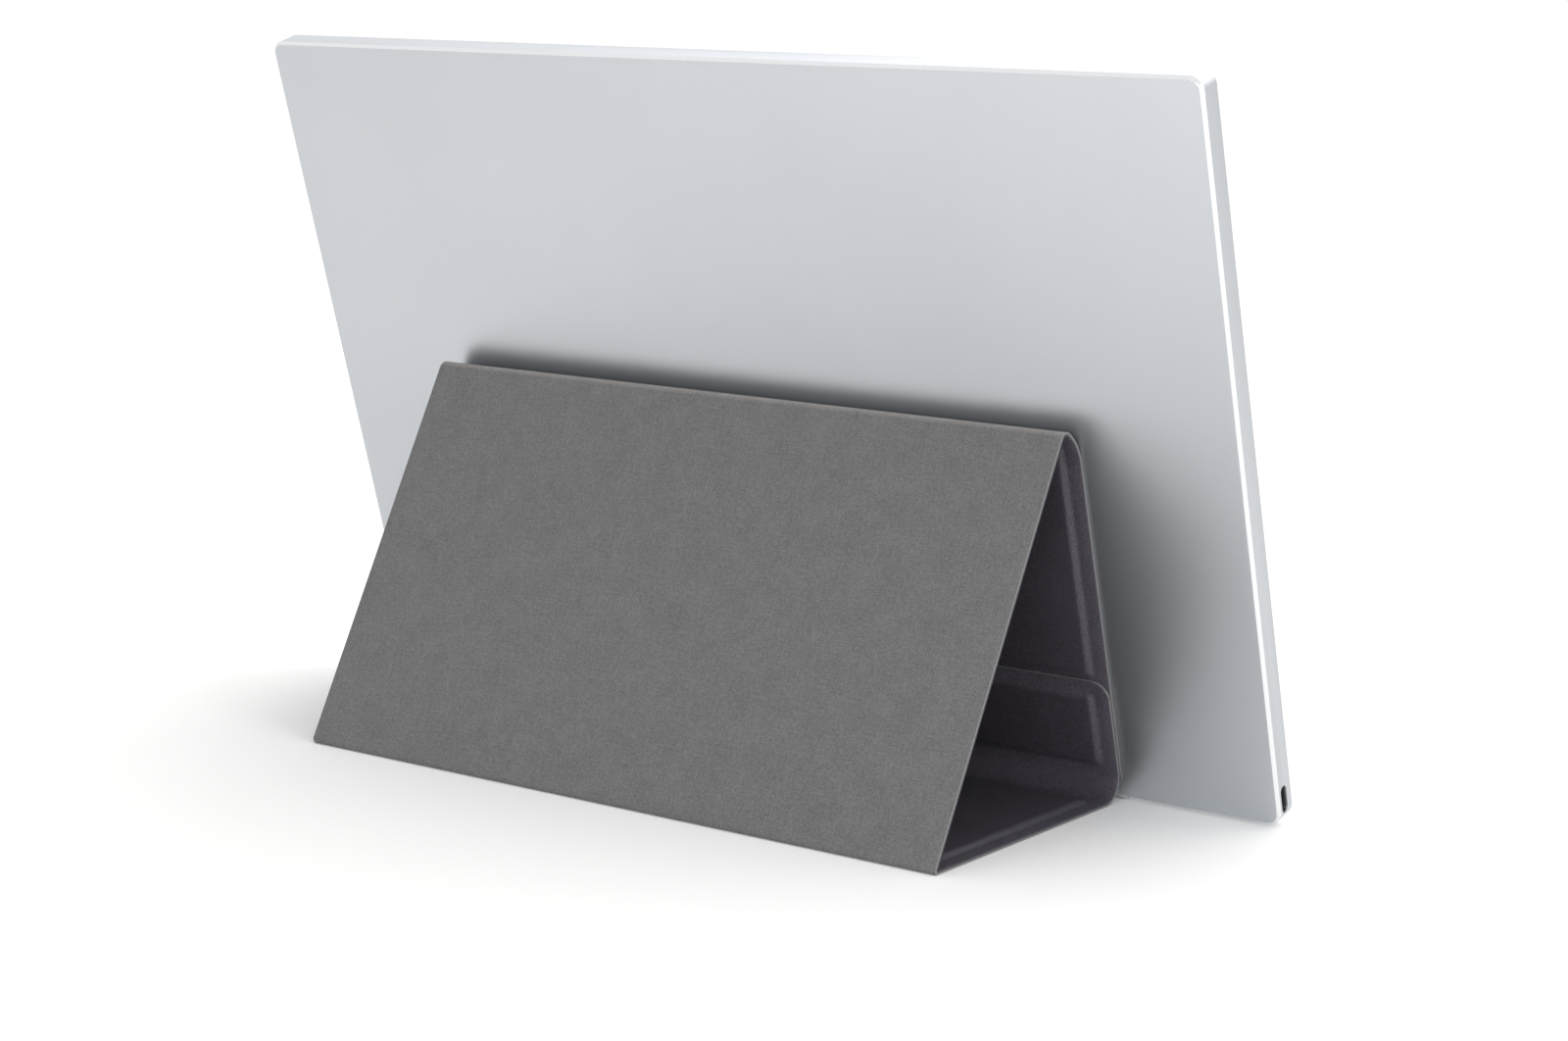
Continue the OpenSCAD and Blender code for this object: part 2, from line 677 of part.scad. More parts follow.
// The contact tongue inside a socket, with the moulded block that it grows from.
tongue_w = 6.7;
tongue_t = 0.7;
tongue_len = 4.6;
tongue_block = 1.6;
tongue_gap = 0.02;
module usb_tongue(s) {
  rear = s * (monitor_w / 2 - port_recess - port_len + port_wall);
  side_pill(port_w - 2 * port_wall - 2 * tongue_gap, port_h - 2 * port_wall - 2 * tongue_gap,
    rear, rear + s * tongue_block, port_up, port_depth);
  start = rear + s * (tongue_block - eps);
  layer(port_depth - tongue_t / 2, port_depth + tongue_t / 2)
    rounded(min(start - s, start + s * tongue_len), max(start - s, start + s * tongue_len),
      port_up - tongue_w / 2, port_up + tongue_w / 2, 0.5);
}

module usb_shell_left() color(steel) usb_shell(-1);
module usb_tongue_left() color(chip_black) usb_tongue(-1);
module usb_shell_right() color(steel) usb_shell(1);
module usb_tongue_right() color(chip_black) usb_tongue(1);

// The flat cable from the main board's front to the plug on the driver board.
cable_w = 9;
cable_land = 4;
cable_high = 40;
module display_cable() color(amber_film)
  layer(board_depth, driver_back) {
    x0 = main_board_x + main_board_w - cable_land;
    span(x0, x0 + cable_w, driver_low + plug_inset, board_low + cable_high);
    span(x0, plug_x, driver_low + plug_inset, driver_low + driver_board_h - plug_inset);
  }

// The flat cable along the bottom of the housing, from the main board to the side board.
side_cable_w = 5;
side_cable_depth = 2.0;
main_land = 5;
side_land = 2;
side_cable_space = 1.6;
module side_cable() color(amber_film)
  layer(side_cable_depth, board_back) {
    low = foot_z + 2 * foot_r + side_cable_space;
    span(main_board_x + main_board_w - main_land, side_board_x - side_board_w + side_land,
      low, low + side_cable_w);
  }

// The screws that hold the boards to the housing's bosses.
module board_screws() color(steel) {
  layer(board_depth, board_depth + screw_head_t) at_screws() circle(screw_head_r);
  layer(board_depth - screw_len, board_depth) at_screws() circle(screw_r);
}

// The rows of magnets follow the cover's boards.
magnet_pitch = (cover_len - 2 * (border_w + magnet_side) - magnet_len) / 3;
magnet_high_up = attach_up + attach_len - magnet_inset;

sheet_film_t = 0.1;
film_inset = 1;
film_gap = 0.3;
// The black film that keeps the main board's parts off the metal.
module insulating_sheet() color(black)
  layer(back_t, back_t + sheet_film_t) difference() {
    span(main_board_x, main_board_x + main_board_w - film_inset, board_low + film_inset,
      board_low + main_board_h);
    at_screws() circle(boss_r + film_gap);
  }

// Magnet bars glued to the housing's back plate, which hold the cover.
module magnet_row(up) {
  for (i = [-1.5 : 1 : 1.5])
    translate([i * magnet_pitch, up]) square([magnet_len, magnet_w], center = true);
}
module housing_magnets() color(steel)
  layer(back_t, back_t + magnet_t) {
    magnet_row(magnet_flap_up);
    magnet_row(magnet_low_up);
    magnet_row(magnet_high_up);
  }

// ---------- Buttons ----------

// A button: a pill that shows, a flange behind the wall, and a stem that meets the switch.
module side_button(up) {
  flange_front = cavity_w / 2 - flange_gap;
  side_pill(button_len, button_w, flange_front - eps, monitor_w / 2 + button_proud, up, port_depth);
  side_pill(button_len + 2 * flange_rim, button_w + 2 * flange_rim,
    button_back(), flange_front, up, port_depth);
  side_pill(stem_len, stem_w, stem_end(), button_back() + eps, up, port_depth);
}
module brightness_down_button() color(silver) side_button(button_up);
module brightness_up_button() color(silver) side_button(button_up + button_pitch);

// ---------- Cover ----------

// Places a panel: x along the width, y along the panel from its start, z out of its woven face.
module panel(start, angle) {
  translate([cover_shift, start.x, start.y]) rotate([angle, 0, 0]) children();
}
module on_attach() panel(attach_start, attach_angle) children();
module on_strut() panel(strut_start, strut_angle) children();
module on_base() panel(base_start, 180) children();
module on_flap() panel(flap_start, attach_angle) children();

// The flat outline of a panel, with round corners at its start or its end if it is free there.
module panel_outline(length, free_start, free_end) {
  low = free_start ? edge_r : 0;
  high = free_end ? length - edge_r : length;
  half = cover_len / 2;
  span(-half, half, low, high);
  span(edge_r - half, half - edge_r, 0, length);
  if (free_start) for (s = [-1, 1]) translate([s * (half - edge_r), edge_r]) circle(edge_r);
  if (free_end) for (s = [-1, 1]) translate([s * (half - edge_r), length - edge_r]) circle(edge_r);
}

// The outline of a stiffening board, grown by a rim.
module board_zone(zone, rim) {
  half = cover_len / 2 - border_w;
  span(-half - rim, half + rim, zone[0] - rim, zone[1] + rim);
}

module skin_sheet(length, free_start, free_end)
  translate([0, 0, -skin_t]) linear_extrude(skin_t) panel_outline(length, free_start, free_end);

module stiff_board(zone, holes_at)
  translate([0, 0, -skin_t - stiff_t]) linear_extrude(stiff_t) difference() {
    board_zone(zone, 0);
    for (y = holes_at) pocket_row(y, pocket_gap);
  }

// A row of magnet bars, or their pockets when they are grown by a gap.
module pocket_row(y, gap) {
  for (i = [-1.5 : 1 : 1.5]) translate([i * magnet_pitch - cover_shift, y])
    square([magnet_len + 2 * gap, magnet_w + 2 * gap], center = true);
}

module board_magnets(rows)
  translate([0, 0, -skin_t - stiff_t]) linear_extrude(stiff_t) for (y = rows) pocket_row(y, 0);

// The raised part of a lining over its board: two ridges with sloping sides, crossed.
module raised_pad(zone) {
  low = -skin_t;
  high = -skin_t - stiff_t - lining_t;
  half = cover_len / 2 - border_w;
  rim = slope_w;
  translate([-half - rim, 0, 0]) rotate([90, 0, 90]) linear_extrude(2 * (half + rim))
    polygon([[zone[0] - rim, low], [zone[0] - pad_ease, high], [zone[1] + pad_ease, high],
      [zone[1] + rim, low]]);
}
module lining_sheet(length, zone, free_start, free_end) {
  low = -skin_t;
  high = -skin_t - stiff_t - lining_t;
  half = cover_len / 2 - border_w;
  rim = slope_w;
  difference() {
    union() {
      translate([0, 0, -sheet_t]) linear_extrude(lining_t)
        panel_outline(length, free_start, free_end);
      intersection() {
        raised_pad(zone);
        translate([0, zone[1] + rim, 0]) rotate([90, 0, 0])
          linear_extrude(zone[1] - zone[0] + 2 * rim)
            polygon([[-half - rim, low], [-half - pad_ease, high], [half + pad_ease, high],
              [half + rim, low]]);
      }
    }
    translate([0, 0, low - stiff_t]) linear_extrude(stiff_t + 1) board_zone(zone, pocket_gap);
  }
}

// Extrudes an outline (y, z) along the cover's whole length.
module along_cover()
  translate([cover_shift - cover_len / 2, 0, 0]) rotate([90, 0, 90]) linear_extrude(cover_len)
    children();

// The outline of a bend in the sheet round a centre, between two depths from its woven face.
// angle is the sheet's direction where the bend starts, and turn is how far it turns.
module bend(centre, r, angle, turn, near, far) {
  wide = 2 * r;
  translate(centre) intersection() {
    difference() {
      circle(r - near);
      circle(r - far);
    }
    polygon([[0, 0], wide * heading(angle + 90), wide * heading(angle + 90 - turn / 2),
      wide * heading(angle + 90 - turn)]);
  }
}

module lift_bend(near, far) along_cover()
  bend(lift_centre, lift_r, attach_angle, lift_turn, near, far);
module apex_bend(near, far) along_cover()
  bend(apex_centre, apex_r, attach_angle - lift_turn, apex_turn, near, far);
module base_bend(near, far) along_cover()
  bend(base_fold_centre, base_fold_r, strut_angle, base_turn, near, far);
module spine_bend(near, far) along_cover()
  bend(spine_centre, spine_r, 180, spine_turn, near, far);

attach_rows = [magnet_low_up - attach_up, magnet_high_up - attach_up];
flap_rows = [magnet_flap_up - flap_start_up()];

module attach_skin() color(weave_grey) on_attach() skin_sheet(attach_len, true, false);
module attach_board() color(card_brown) on_attach() stiff_board(attach_zone, attach_rows);
module attach_lining() color(lining_grey) on_attach()
  lining_sheet(attach_len, attach_zone, true, false);
module attach_magnets() color(steel) on_attach() board_magnets(attach_rows);

module lift_bend_skin() color(weave_grey) lift_bend(0, skin_t);
module lift_bend_lining() color(lining_grey) lift_bend(skin_t, sheet_t);

module apex_fold_skin() color(weave_grey) apex_bend(0, skin_t);
module apex_fold_lining() color(lining_grey) apex_bend(skin_t, sheet_t);

module strut_skin() color(weave_grey) on_strut() skin_sheet(strut_flat, false, false);
module strut_board() color(card_brown) on_strut() stiff_board(strut_zone, []);
module strut_lining() color(lining_grey) on_strut()
  lining_sheet(strut_flat, strut_zone, false, false);

module base_fold_skin() color(weave_grey) base_bend(0, skin_t);
module base_fold_lining() color(lining_grey) base_bend(skin_t, sheet_t);

module base_skin() color(weave_grey) on_base() skin_sheet(base_flat, false, false);
module base_board() color(card_brown) on_base() stiff_board(base_zone, []);
module base_lining() color(lining_grey) on_base()
  lining_sheet(base_flat, base_zone, false, false);

module spine_fold_skin() color(weave_grey) spine_bend(0, skin_t);
module spine_fold_lining() color(lining_grey) spine_bend(skin_t, sheet_t);

module flap_skin() color(weave_grey) on_flap() skin_sheet(flap_len, false, true);
module flap_board() color(card_brown) on_flap() stiff_board(flap_zone, flap_rows);
module flap_lining() color(lining_grey) on_flap() lining_sheet(flap_len, flap_zone, false, true);
module flap_magnets() color(steel) on_flap() board_magnets(flap_rows);

rear_housing();
front_bezel();
bezel_tape();
lcd_glass();
diffuser_films();
light_guide();
reflector_sheet();
panel_frame();
panel_tray();
lighting_strip();
driver_board();
driver_flexes();
main_board();
main_board_chips();
shield_can();
side_board();
tact_switches();
display_cable();
side_cable();
board_screws();
usb_shell_left();
usb_tongue_left();
usb_shell_right();
usb_tongue_right();
insulating_sheet();
housing_magnets();
foot_strip();
brightness_up_button();
brightness_down_button();
attach_skin();
attach_board();
attach_lining();
attach_magnets();
lift_bend_skin();
lift_bend_lining();
apex_fold_skin();
apex_fold_lining();
strut_skin();
strut_board();
strut_lining();
base_fold_skin();
base_fold_lining();
base_skin();
base_board();
base_lining();
spine_fold_skin();
spine_fold_lining();
flap_skin();
flap_board();
flap_lining();
flap_magnets();
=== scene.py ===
"""Portable monitor with a folding cover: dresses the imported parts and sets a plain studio."""
from collections import namedtuple
from math import atan2, cos, pi, radians, sin, sqrt, tan

import bmesh
import bpy
from bpy.props import FloatProperty, FloatVectorProperty, PointerProperty
from mathutils import Matrix, Vector


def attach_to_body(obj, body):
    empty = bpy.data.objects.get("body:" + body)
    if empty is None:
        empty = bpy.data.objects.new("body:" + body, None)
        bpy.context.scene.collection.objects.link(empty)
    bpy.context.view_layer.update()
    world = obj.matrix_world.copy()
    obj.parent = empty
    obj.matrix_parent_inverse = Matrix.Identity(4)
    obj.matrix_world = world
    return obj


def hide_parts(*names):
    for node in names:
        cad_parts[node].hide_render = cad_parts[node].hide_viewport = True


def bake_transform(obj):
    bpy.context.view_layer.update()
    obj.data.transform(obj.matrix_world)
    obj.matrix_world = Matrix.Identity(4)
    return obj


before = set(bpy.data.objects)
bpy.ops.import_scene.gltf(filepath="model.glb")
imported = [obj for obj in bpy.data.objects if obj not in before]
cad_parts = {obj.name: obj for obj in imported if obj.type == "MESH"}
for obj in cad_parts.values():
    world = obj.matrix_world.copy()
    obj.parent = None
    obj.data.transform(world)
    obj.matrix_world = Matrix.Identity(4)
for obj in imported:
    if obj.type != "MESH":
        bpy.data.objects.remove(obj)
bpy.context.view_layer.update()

bl_info = {
    "name": "Portable monitor with folding cover",
    "version": (1, 0, 0),
    "blender": (4, 5, 0),
    "location": "3D View > Sidebar > Monitor",
    "description": "Builds the visible pieces and finishes of a portable monitor "
                   "on its folded cover",
    "category": "Object",
}

# Lengths in metres
TINY = 1e-6
MERGE_REACH = 1e-7
CUT_REACH = 1e-8
# Faces that turn less than this are one flat face
FLAT_TURN = radians(0.5)
# Edges that turn more than this are sharp: on the housing, on the small parts, on a sheet's rim
HOUSING_TURN = radians(30)
SMALL_PART_TURN = radians(35)
RIM_TURN = 1.0


# ---------- Sizes and colours ----------

def size(name, text, value):
    """A length in metres."""
    return FloatProperty(name=name, description=text, default=value, unit="LENGTH", precision=5)


def angle(name, text, value):
    """An angle, given in degrees and kept in radians."""
    return FloatProperty(name=name, description=text, default=radians(value), unit="ROTATION")


def colour(name, text, value):
    """A colour in linear light."""
    return FloatVectorProperty(
        name=name, description=text, default=value, size=3, min=0, max=1, subtype="COLOR")


def number(name, text, value):
    """A number without a unit."""
    return FloatProperty(name=name, description=text, default=value)


class MonitorSizes(bpy.types.PropertyGroup):
    """Sizes of the monitor that its finishes and the cover depend on."""
    thickness: size("Thickness", "Thickness of the monitor", 0.0083)
    width: size("Width", "Width of the monitor", 0.3595)
    height: size("Height", "Height of the monitor up its face", 0.2402)
    lean: angle("Lean", "Lean back from upright", 17)
    chamfer: size("Chamfer", "Width of the polished chamfer", 0.001)
    foot_radius: size("Foot radius", "Radius of the rubber foot", 0.0019)
    foot_proud: size("Foot standing out", "How far the foot stands out below", 0.001)
    edge: size("Edge break", "Softening of the housing's sharp edges", 0.00014)
    button_edge: size("Button edge", "Softening of the buttons' edges", 0.0002)
    bezel_edge: size("Bezel edge", "Softening of the bezel's edges", 0.00015)
    socket_edge: size("Socket edge", "Softening of the sockets' rims", 0.00006)


class CoverSizes(bpy.types.PropertyGroup):
    """Sizes of the folded cover, measured on its woven side."""
    length: size("Length", "Length along the monitor's width", 0.2485)
    shift: size("Shift", "Sideways place on the monitor", -0.00075)
    skin: size("Skin", "Thickness of the woven skin", 0.0006)
    lining: size("Lining", "Thickness of the lining", 0.0006)
    board: size("Board", "Thickness of the boards", 0.0012)
    border: size("Border", "Width of the thin border at the sides", 0.0075)
    slope: size("Slope", "Width of the packed slope beside a board", 0.002)
    shoulder: size("Shoulder", "Width of the soft shoulder pressed beside a board", 0.0032)
    bend_space: size("Bend space", "Space between a board and a bend", 0.004)
    seat: size("Seat", "Gap between the cover and the monitor's back", 0.00015)
    flap_gap: size("Flap gap", "Gap between the flap and the attached panel", 0.0002)
    corner: size("Corner", "Radius of the free corners", 0.006)
    attach_up: size("Attached up", "Height of the lower edge on the back", 0.003)
    attach: size("Attached panel", "Flat length of the attached panel", 0.1138)
    strut: size("Strut panel", "Length of the strut to the base corner", 0.1369)
    flap: size("Flap", "Flat length of the inner flap", 0.0313)
    lift_radius: size("Lift radius", "Radius of the gentle bend off the back", 0.017)
    lift_turn: angle("Lift turn", "Angle of the gentle bend", 45)
    apex_radius: size("Apex radius", "Outer radius of the top fold", 0.0032)
    base_radius: size("Base radius", "Outer radius of the back fold", 0.0015)
    spine_radius: size("Spine radius", "Outer radius of the spine", 0.008)
    edge: size("Cut edge", "Rounding of the sheets' cut edges", 0.00016)


class FinishColours(bpy.types.PropertyGroup):
    """Colours of the visible finishes."""
    silver: colour("Silver", "Blasted housing metal", (0.535, 0.555, 0.58))
    chamfer: colour("Chamfer", "Polished chamfer", (0.80, 0.81, 0.825))
    thread_light: colour("Light thread", "Light thread of the weave", (0.243, 0.242, 0.246))
    thread_dark: colour("Dark thread", "Dark thread of the weave", (0.124, 0.124, 0.129))
    # Painted highlight: threads painted paler along the top fold, standing in for the light on
    # its upper face.
    thread_painted_highlight: colour("Fold highlight thread", "Threads painted paler along the top fold as a painted highlight", (0.42, 0.39, 0.37))
    # The two cut edge colours are the edges' own colour made pale, partly as a painted highlight
    # for the light on the rounded cut edges.
    woven_edge_with_highlight: colour("Woven edge", "Cut edge of the woven skin", (0.30, 0.29, 0.295))
    lining_edge_with_highlight: colour("Lining edge", "Cut edge of the lining", (0.10, 0.095, 0.108))
    lining: colour("Lining", "Grained lining", (0.093, 0.083, 0.108))
    lining_low: colour("Lining creases", "Valleys of the grain", (0.038, 0.034, 0.045))
    bezel: colour("Bezel", "Black bezel", (0.012, 0.012, 0.013))
    screen: colour("Screen", "Dark display", (0.006, 0.007, 0.009))
    foot: colour("Foot", "Translucent silicone", (0.62, 0.63, 0.66))


class StudioSettings(bpy.types.PropertyGroup):
    """Camera and lights."""
    azimuth: angle("Azimuth", "Camera's angle round the object", 215.691)
    elevation: angle("Elevation", "Camera's angle above the horizon", 9.930)
    roll: angle("Roll", "Camera's roll", 0.989)
    lens: number("Lens", "Focal length in mm", 72.13)
    overhead: number("Overhead", "Light on a level surface", 0.55)
    tilt: angle("Tilt", "Lean of the overhead light towards the screen side", 30)
    turn: angle("Turn", "Turn of the overhead light towards the seen side wall", 15)
    soft: angle("Softness", "Angular size of the overhead light", 90)
    fill: number("Fill", "Power of the low fill light in watts", 14)
    side: number("Side", "Power of the side light in watts", 8)
    front: number("Front", "Power of the front light in watts", 3)
    sky: number("Sky", "Strength of the plain sky", 0.36)
    floor: number("Floor", "Whiteness of the floor", 1.25)


def sizes():
    """The monitor's sizes, the cover's sizes and the colours of the scene."""
    scene = bpy.context.scene
    return scene.monitor_sizes, scene.cover_sizes, scene.finish_colours


# ---------- The folded line of the cover ----------

# A stretch of the cover: its first point and its heading on the woven face, its length, the
# radius of its bend (0 where it is straight), and where it starts along the whole flat sheet.
Stretch = namedtuple("Stretch", "start heading length radius at")


class FoldedLine:
    """Where every stretch of the cover lies, worked out from its sizes."""

    def __init__(self, monitor, cover):
        lean = monitor.lean
        self.rise, self.run = cos(lean), sin(lean)
        foot = monitor.foot_radius
        corner_z = foot * (1 - self.run) - (foot - monitor.foot_proud) * self.rise
        lift, apex = cover.lift_radius, cover.apex_radius
        off = cover.seat + lift * (1 - cos(cover.lift_turn)) + apex * cos(cover.lift_turn)
        up = cover.attach_up + cover.attach + (lift - apex) * sin(cover.lift_turn)
        apex_y = up * self.run + off * self.rise
        apex_z = corner_z + up * self.rise - off * self.run
        reach = sqrt(cover.strut ** 2 + apex ** 2 - apex_z ** 2)
        strut_angle = atan2(-apex_z, reach) - atan2(apex, cover.strut)
        base_turn = strut_angle + pi
        tangent = cover.base_radius * tan(base_turn / 2)
        back_most = apex_y + reach - tangent + cover.base_radius
        corner_y = -(back_most - monitor.thickness * self.rise) / 2
        self.corner = Vector((corner_y, corner_z))
        flap_line = cover.seat + cover.skin + cover.lining + cover.flap_gap
        spine = cover.spine_radius
        spine_y = corner_y + (flap_line + spine + (spine - corner_z) * self.run) / self.rise
        base_flat = corner_y + apex_y + reach - tangent - spine_y
        point = self.on_back(cover.seat, cover.attach_up)
        heading, along = pi / 2 - lean, 0.0
        self.stretches = {}
        for name, length, radius, turn in (
            ("attach", cover.attach, 0, 0),
            ("lift", lift * cover.lift_turn, lift, cover.lift_turn),
            ("apex", 0, apex, heading - cover.lift_turn - strut_angle),
            ("strut", cover.strut - tangent, 0, 0),
            ("base_fold", 0, cover.base_radius, base_turn),
            ("base", base_flat, 0, 0),
            ("spine", 0, spine, pi / 2 + lean),
            ("flap", cover.flap, 0, 0),
        ):
            length = length or radius * turn
            self.stretches[name] = Stretch(point.copy(), heading, length, radius, along)
            point = self.place(name, length, 0)
            heading -= turn
            along += length
        self.whole = along

    def on_back(self, off, up):
        """A point off the monitor's back and up it, as (y, z)."""
        return self.corner_at(off * self.rise + up * self.run, up * self.rise - off * self.run)

    def corner_at(self, y, z):
        """A point measured from the monitor's lower back corner."""
        return self.corner + Vector((y, z))

    def off_and_up(self, y, z):
        """How far a point lies off the monitor's back, and up it."""
        y, z = y - self.corner[0], z - self.corner[1]
        return y * self.rise - z * self.run, y * self.run + z * self.rise

    def stretch_at(self, along):
        """The name of the stretch at a length along the whole flat sheet."""
        for name, stretch in self.stretches.items():
            if along <= stretch.at + stretch.length:
                return name
        return name

    def place(self, name, along, out):
        """The (y, z) of a point along a stretch and out of its woven face."""
        stretch = self.stretches[name]
        ahead = Vector((cos(stretch.heading), sin(stretch.heading)))
        outward = Vector((-sin(stretch.heading), cos(stretch.heading)))
        if not stretch.radius:
            return stretch.start + ahead * along + outward * out
        turned = along / stretch.radius
        centre = stretch.start - outward * stretch.radius
        return centre + (outward * cos(turned) + ahead * sin(turned)) * (stretch.radius + out)


# ---------- Finishes ----------

def wire(tree, kind, inputs=None, **settings):
    """Adds a shader node with its settings, and joins or sets its inputs."""
    made = tree.nodes.new("ShaderNode" + kind)
    for key, value in settings.items():
        setattr(made, key, value)
    for key, value in (inputs or {}).items():
        if isinstance(value, bpy.types.NodeSocket):
            tree.links.new(value, made.inputs[key])
        else:
            made.inputs[key].default_value = value
    return made


def new_finish(name, cloth=False, **inputs):
    """A material with one surface shader, and the coordinates that its pattern reads."""
    material = bpy.data.materials.new(name)
    material.use_nodes = True
    tree = material.node_tree
    tree.nodes.clear()
    shader = wire(tree, "BsdfPrincipled", {k.replace("_", " "): v for k, v in inputs.items()})
    wire(tree, "OutputMaterial", {"Surface": shader.outputs["BSDF"]})
    if cloth:
        coordinates = wire(tree, "UVMap", uv_map="Cut").outputs["UV"]
    else:
        coordinates = wire(tree, "TexCoord").outputs["Object"]
    return material, tree, shader, coordinates


def noise(tree, vector, scale, detail, stretch=None):
    """A noise pattern; stretch squeezes it along the axes."""
    if stretch:
        vector = wire(tree, "Mapping", {"Vector": vector, "Scale": stretch}).outputs[0]
    made = wire(tree, "TexNoise", {"Vector": vector, "Scale": scale, "Detail": detail})
    return made.outputs[0]


def sum_up(tree, operation, a, b):
    """Arithmetic on two values."""
    return wire(tree, "Math", {0: a, 1: b}, operation=operation).outputs[0]


def ramp(tree, value, *stops):
    """Colours along a value: (position, colour) pairs."""
    made = wire(tree, "ValToRGB", {"Fac": value})
    elements = made.color_ramp.elements
    while len(elements) < len(stops):
        elements.new(0.5)
    for element, (position, shade) in zip(elements, stops):
        element.position = position
        element.color = (*shade[:3], 1)
    return made.outputs["Color"]


def spread(tree, value, low, high, start=0.0, end=1.0):
    """Maps a value's span start to end onto low to high."""
    return wire(tree, "MapRange", {
        "Value": value, "From Min": start, "From Max": end, "To Min": low, "To Max": high,
    }).outputs["Result"]


def bump(tree, shader, height, strength, depth):
    """Turns a height into a bump on the shader."""
    made = wire(tree, "Bump", {"Height": height, "Strength": strength, "Distance": depth})
    tree.links.new(made.outputs["Normal"], shader.inputs["Normal"])


# Most of a noise's values lie between these
NOISE_SPAN = (0.3, 0.7)


def mottle(tree, shader, value, dark, light):
    """Colours the surface from dark to light along a noise."""
    low, high = NOISE_SPAN
    tree.links.new(ramp(tree, value, (low, dark), (high, light)), shader.inputs["Base Color"])


def vary_roughness(tree, shader, value, smooth, rough):
    """Varies the roughness along a noise."""
    tree.links.new(spread(tree, value, smooth, rough, *NOISE_SPAN), shader.inputs["Roughness"])


def mix_colours(tree, share, first, second):
    """Blends two colours: the node's inputs 6 and 7 and its output 2 are the colour sockets."""
    return wire(tree, "Mix", {0: share, 6: first, 7: second}, data_type="RGBA").outputs[2]


def tinted(shade, factor):
    """A lighter or darker version of a colour."""
    return tuple(min(1.0, c * factor) for c in shade)


def blasted_metal(name, shade, roughness, grain=5200.0):
    """Bead-blasted metal with a fine even grain."""
    material, tree, shader, at = new_finish(name, Metallic=1.0, Roughness=roughness)
    broad = noise(tree, at, scale=14, detail=3)
    fine = noise(tree, at, scale=grain, detail=2)
    both = sum_up(tree, "ADD", sum_up(tree, "MULTIPLY", broad, 0.5),
                  sum_up(tree, "MULTIPLY", fine, 0.5))
    mottle(tree, shader, both, tinted(shade, 0.965), tinted(shade, 1.03))
    vary_roughness(tree, shader, fine, roughness - 0.03, roughness + 0.04)
    bump(tree, shader, fine, strength=0.18, depth=0.00004)
    return material


def drawn_metal(name, shade, roughness, stretch=(1, 40, 40)):
    """Brushed or drawn metal with lines along one axis."""
    material, tree, shader, at = new_finish(name, Metallic=1.0, Roughness=roughness)
    lines = noise(tree, at, scale=120, detail=4, stretch=stretch)
    mottle(tree, shader, lines, tinted(shade, 0.9), tinted(shade, 1.06))
    vary_roughness(tree, shader, lines, roughness - 0.06, roughness + 0.1)
    bump(tree, shader, lines, strength=0.12, depth=0.00003)
    return material


def moulded(name, shade, roughness, grain=2600.0, depth=0.00003, **more):
    """Moulded plastic or rubber with a fine skin."""
    material, tree, shader, at = new_finish(name, Roughness=roughness, **more)
    fine = noise(tree, at, scale=grain, detail=2)
    broad = noise(tree, at, scale=60, detail=2)
    mottle(tree, shader, broad, tinted(shade, 0.88), tinted(shade, 1.12))
    vary_roughness(tree, shader, fine, roughness - 0.05, roughness + 0.06)
    bump(tree, shader, fine, strength=0.3, depth=depth)
    return material


def lined_film(name, shade, second, pitch, axis="X", roughness=0.3, **more):
    """A film with fine printed lines, such as copper tracks on a cable."""
    material, tree, shader, at = new_finish(name, Roughness=roughness, **more)
    lines = wire(tree, "TexWave", {"Vector": at, "Scale": 0.5 / pitch, "Distortion": 0.0},
                 bands_direction=axis).outputs["Fac"]
    broken = noise(tree, at, scale=300, detail=3)
    tree.links.new(
        ramp(tree, sum_up(tree, "MULTIPLY", lines, spread(tree, broken, 0.75, 1.1)),
             (0.45, shade), (0.6, second)),
        shader.inputs["Base Color"])
    bump(tree, shader, lines, strength=0.2, depth=0.00003)
    return material


def circuit_board(name):
    """Green solder mask over copper tracks, with bright pads."""
    material, tree, shader, at = new_finish(name, Roughness=0.35, Coat_Weight=0.2)
    cells = wire(tree, "TexVoronoi", {"Vector": at, "Scale": 420.0}, distance="CHEBYCHEV")
    mask, mask_light = (0.012, 0.085, 0.04, 1), (0.016, 0.11, 0.052, 1)
    track = (0.03, 0.17, 0.075, 1)
    plating, pad_share = (0.75, 0.68, 0.5, 1), 0.09
    tracks = wire(tree, "TexBrick", {
        "Vector": at, "Scale": 260.0, "Mortar Size": 0.06,
        "Color1": mask, "Color2": mask_light, "Mortar": track,
    })
    pads = sum_up(tree, "LESS_THAN", cells.outputs["Distance"], pad_share)
    tree.links.new(mix_colours(tree, pads, tracks.outputs["Color"], plating),
                   shader.inputs["Base Color"])
    bump(tree, shader, cells.outputs["Distance"], strength=0.15, depth=0.00004)
    return material


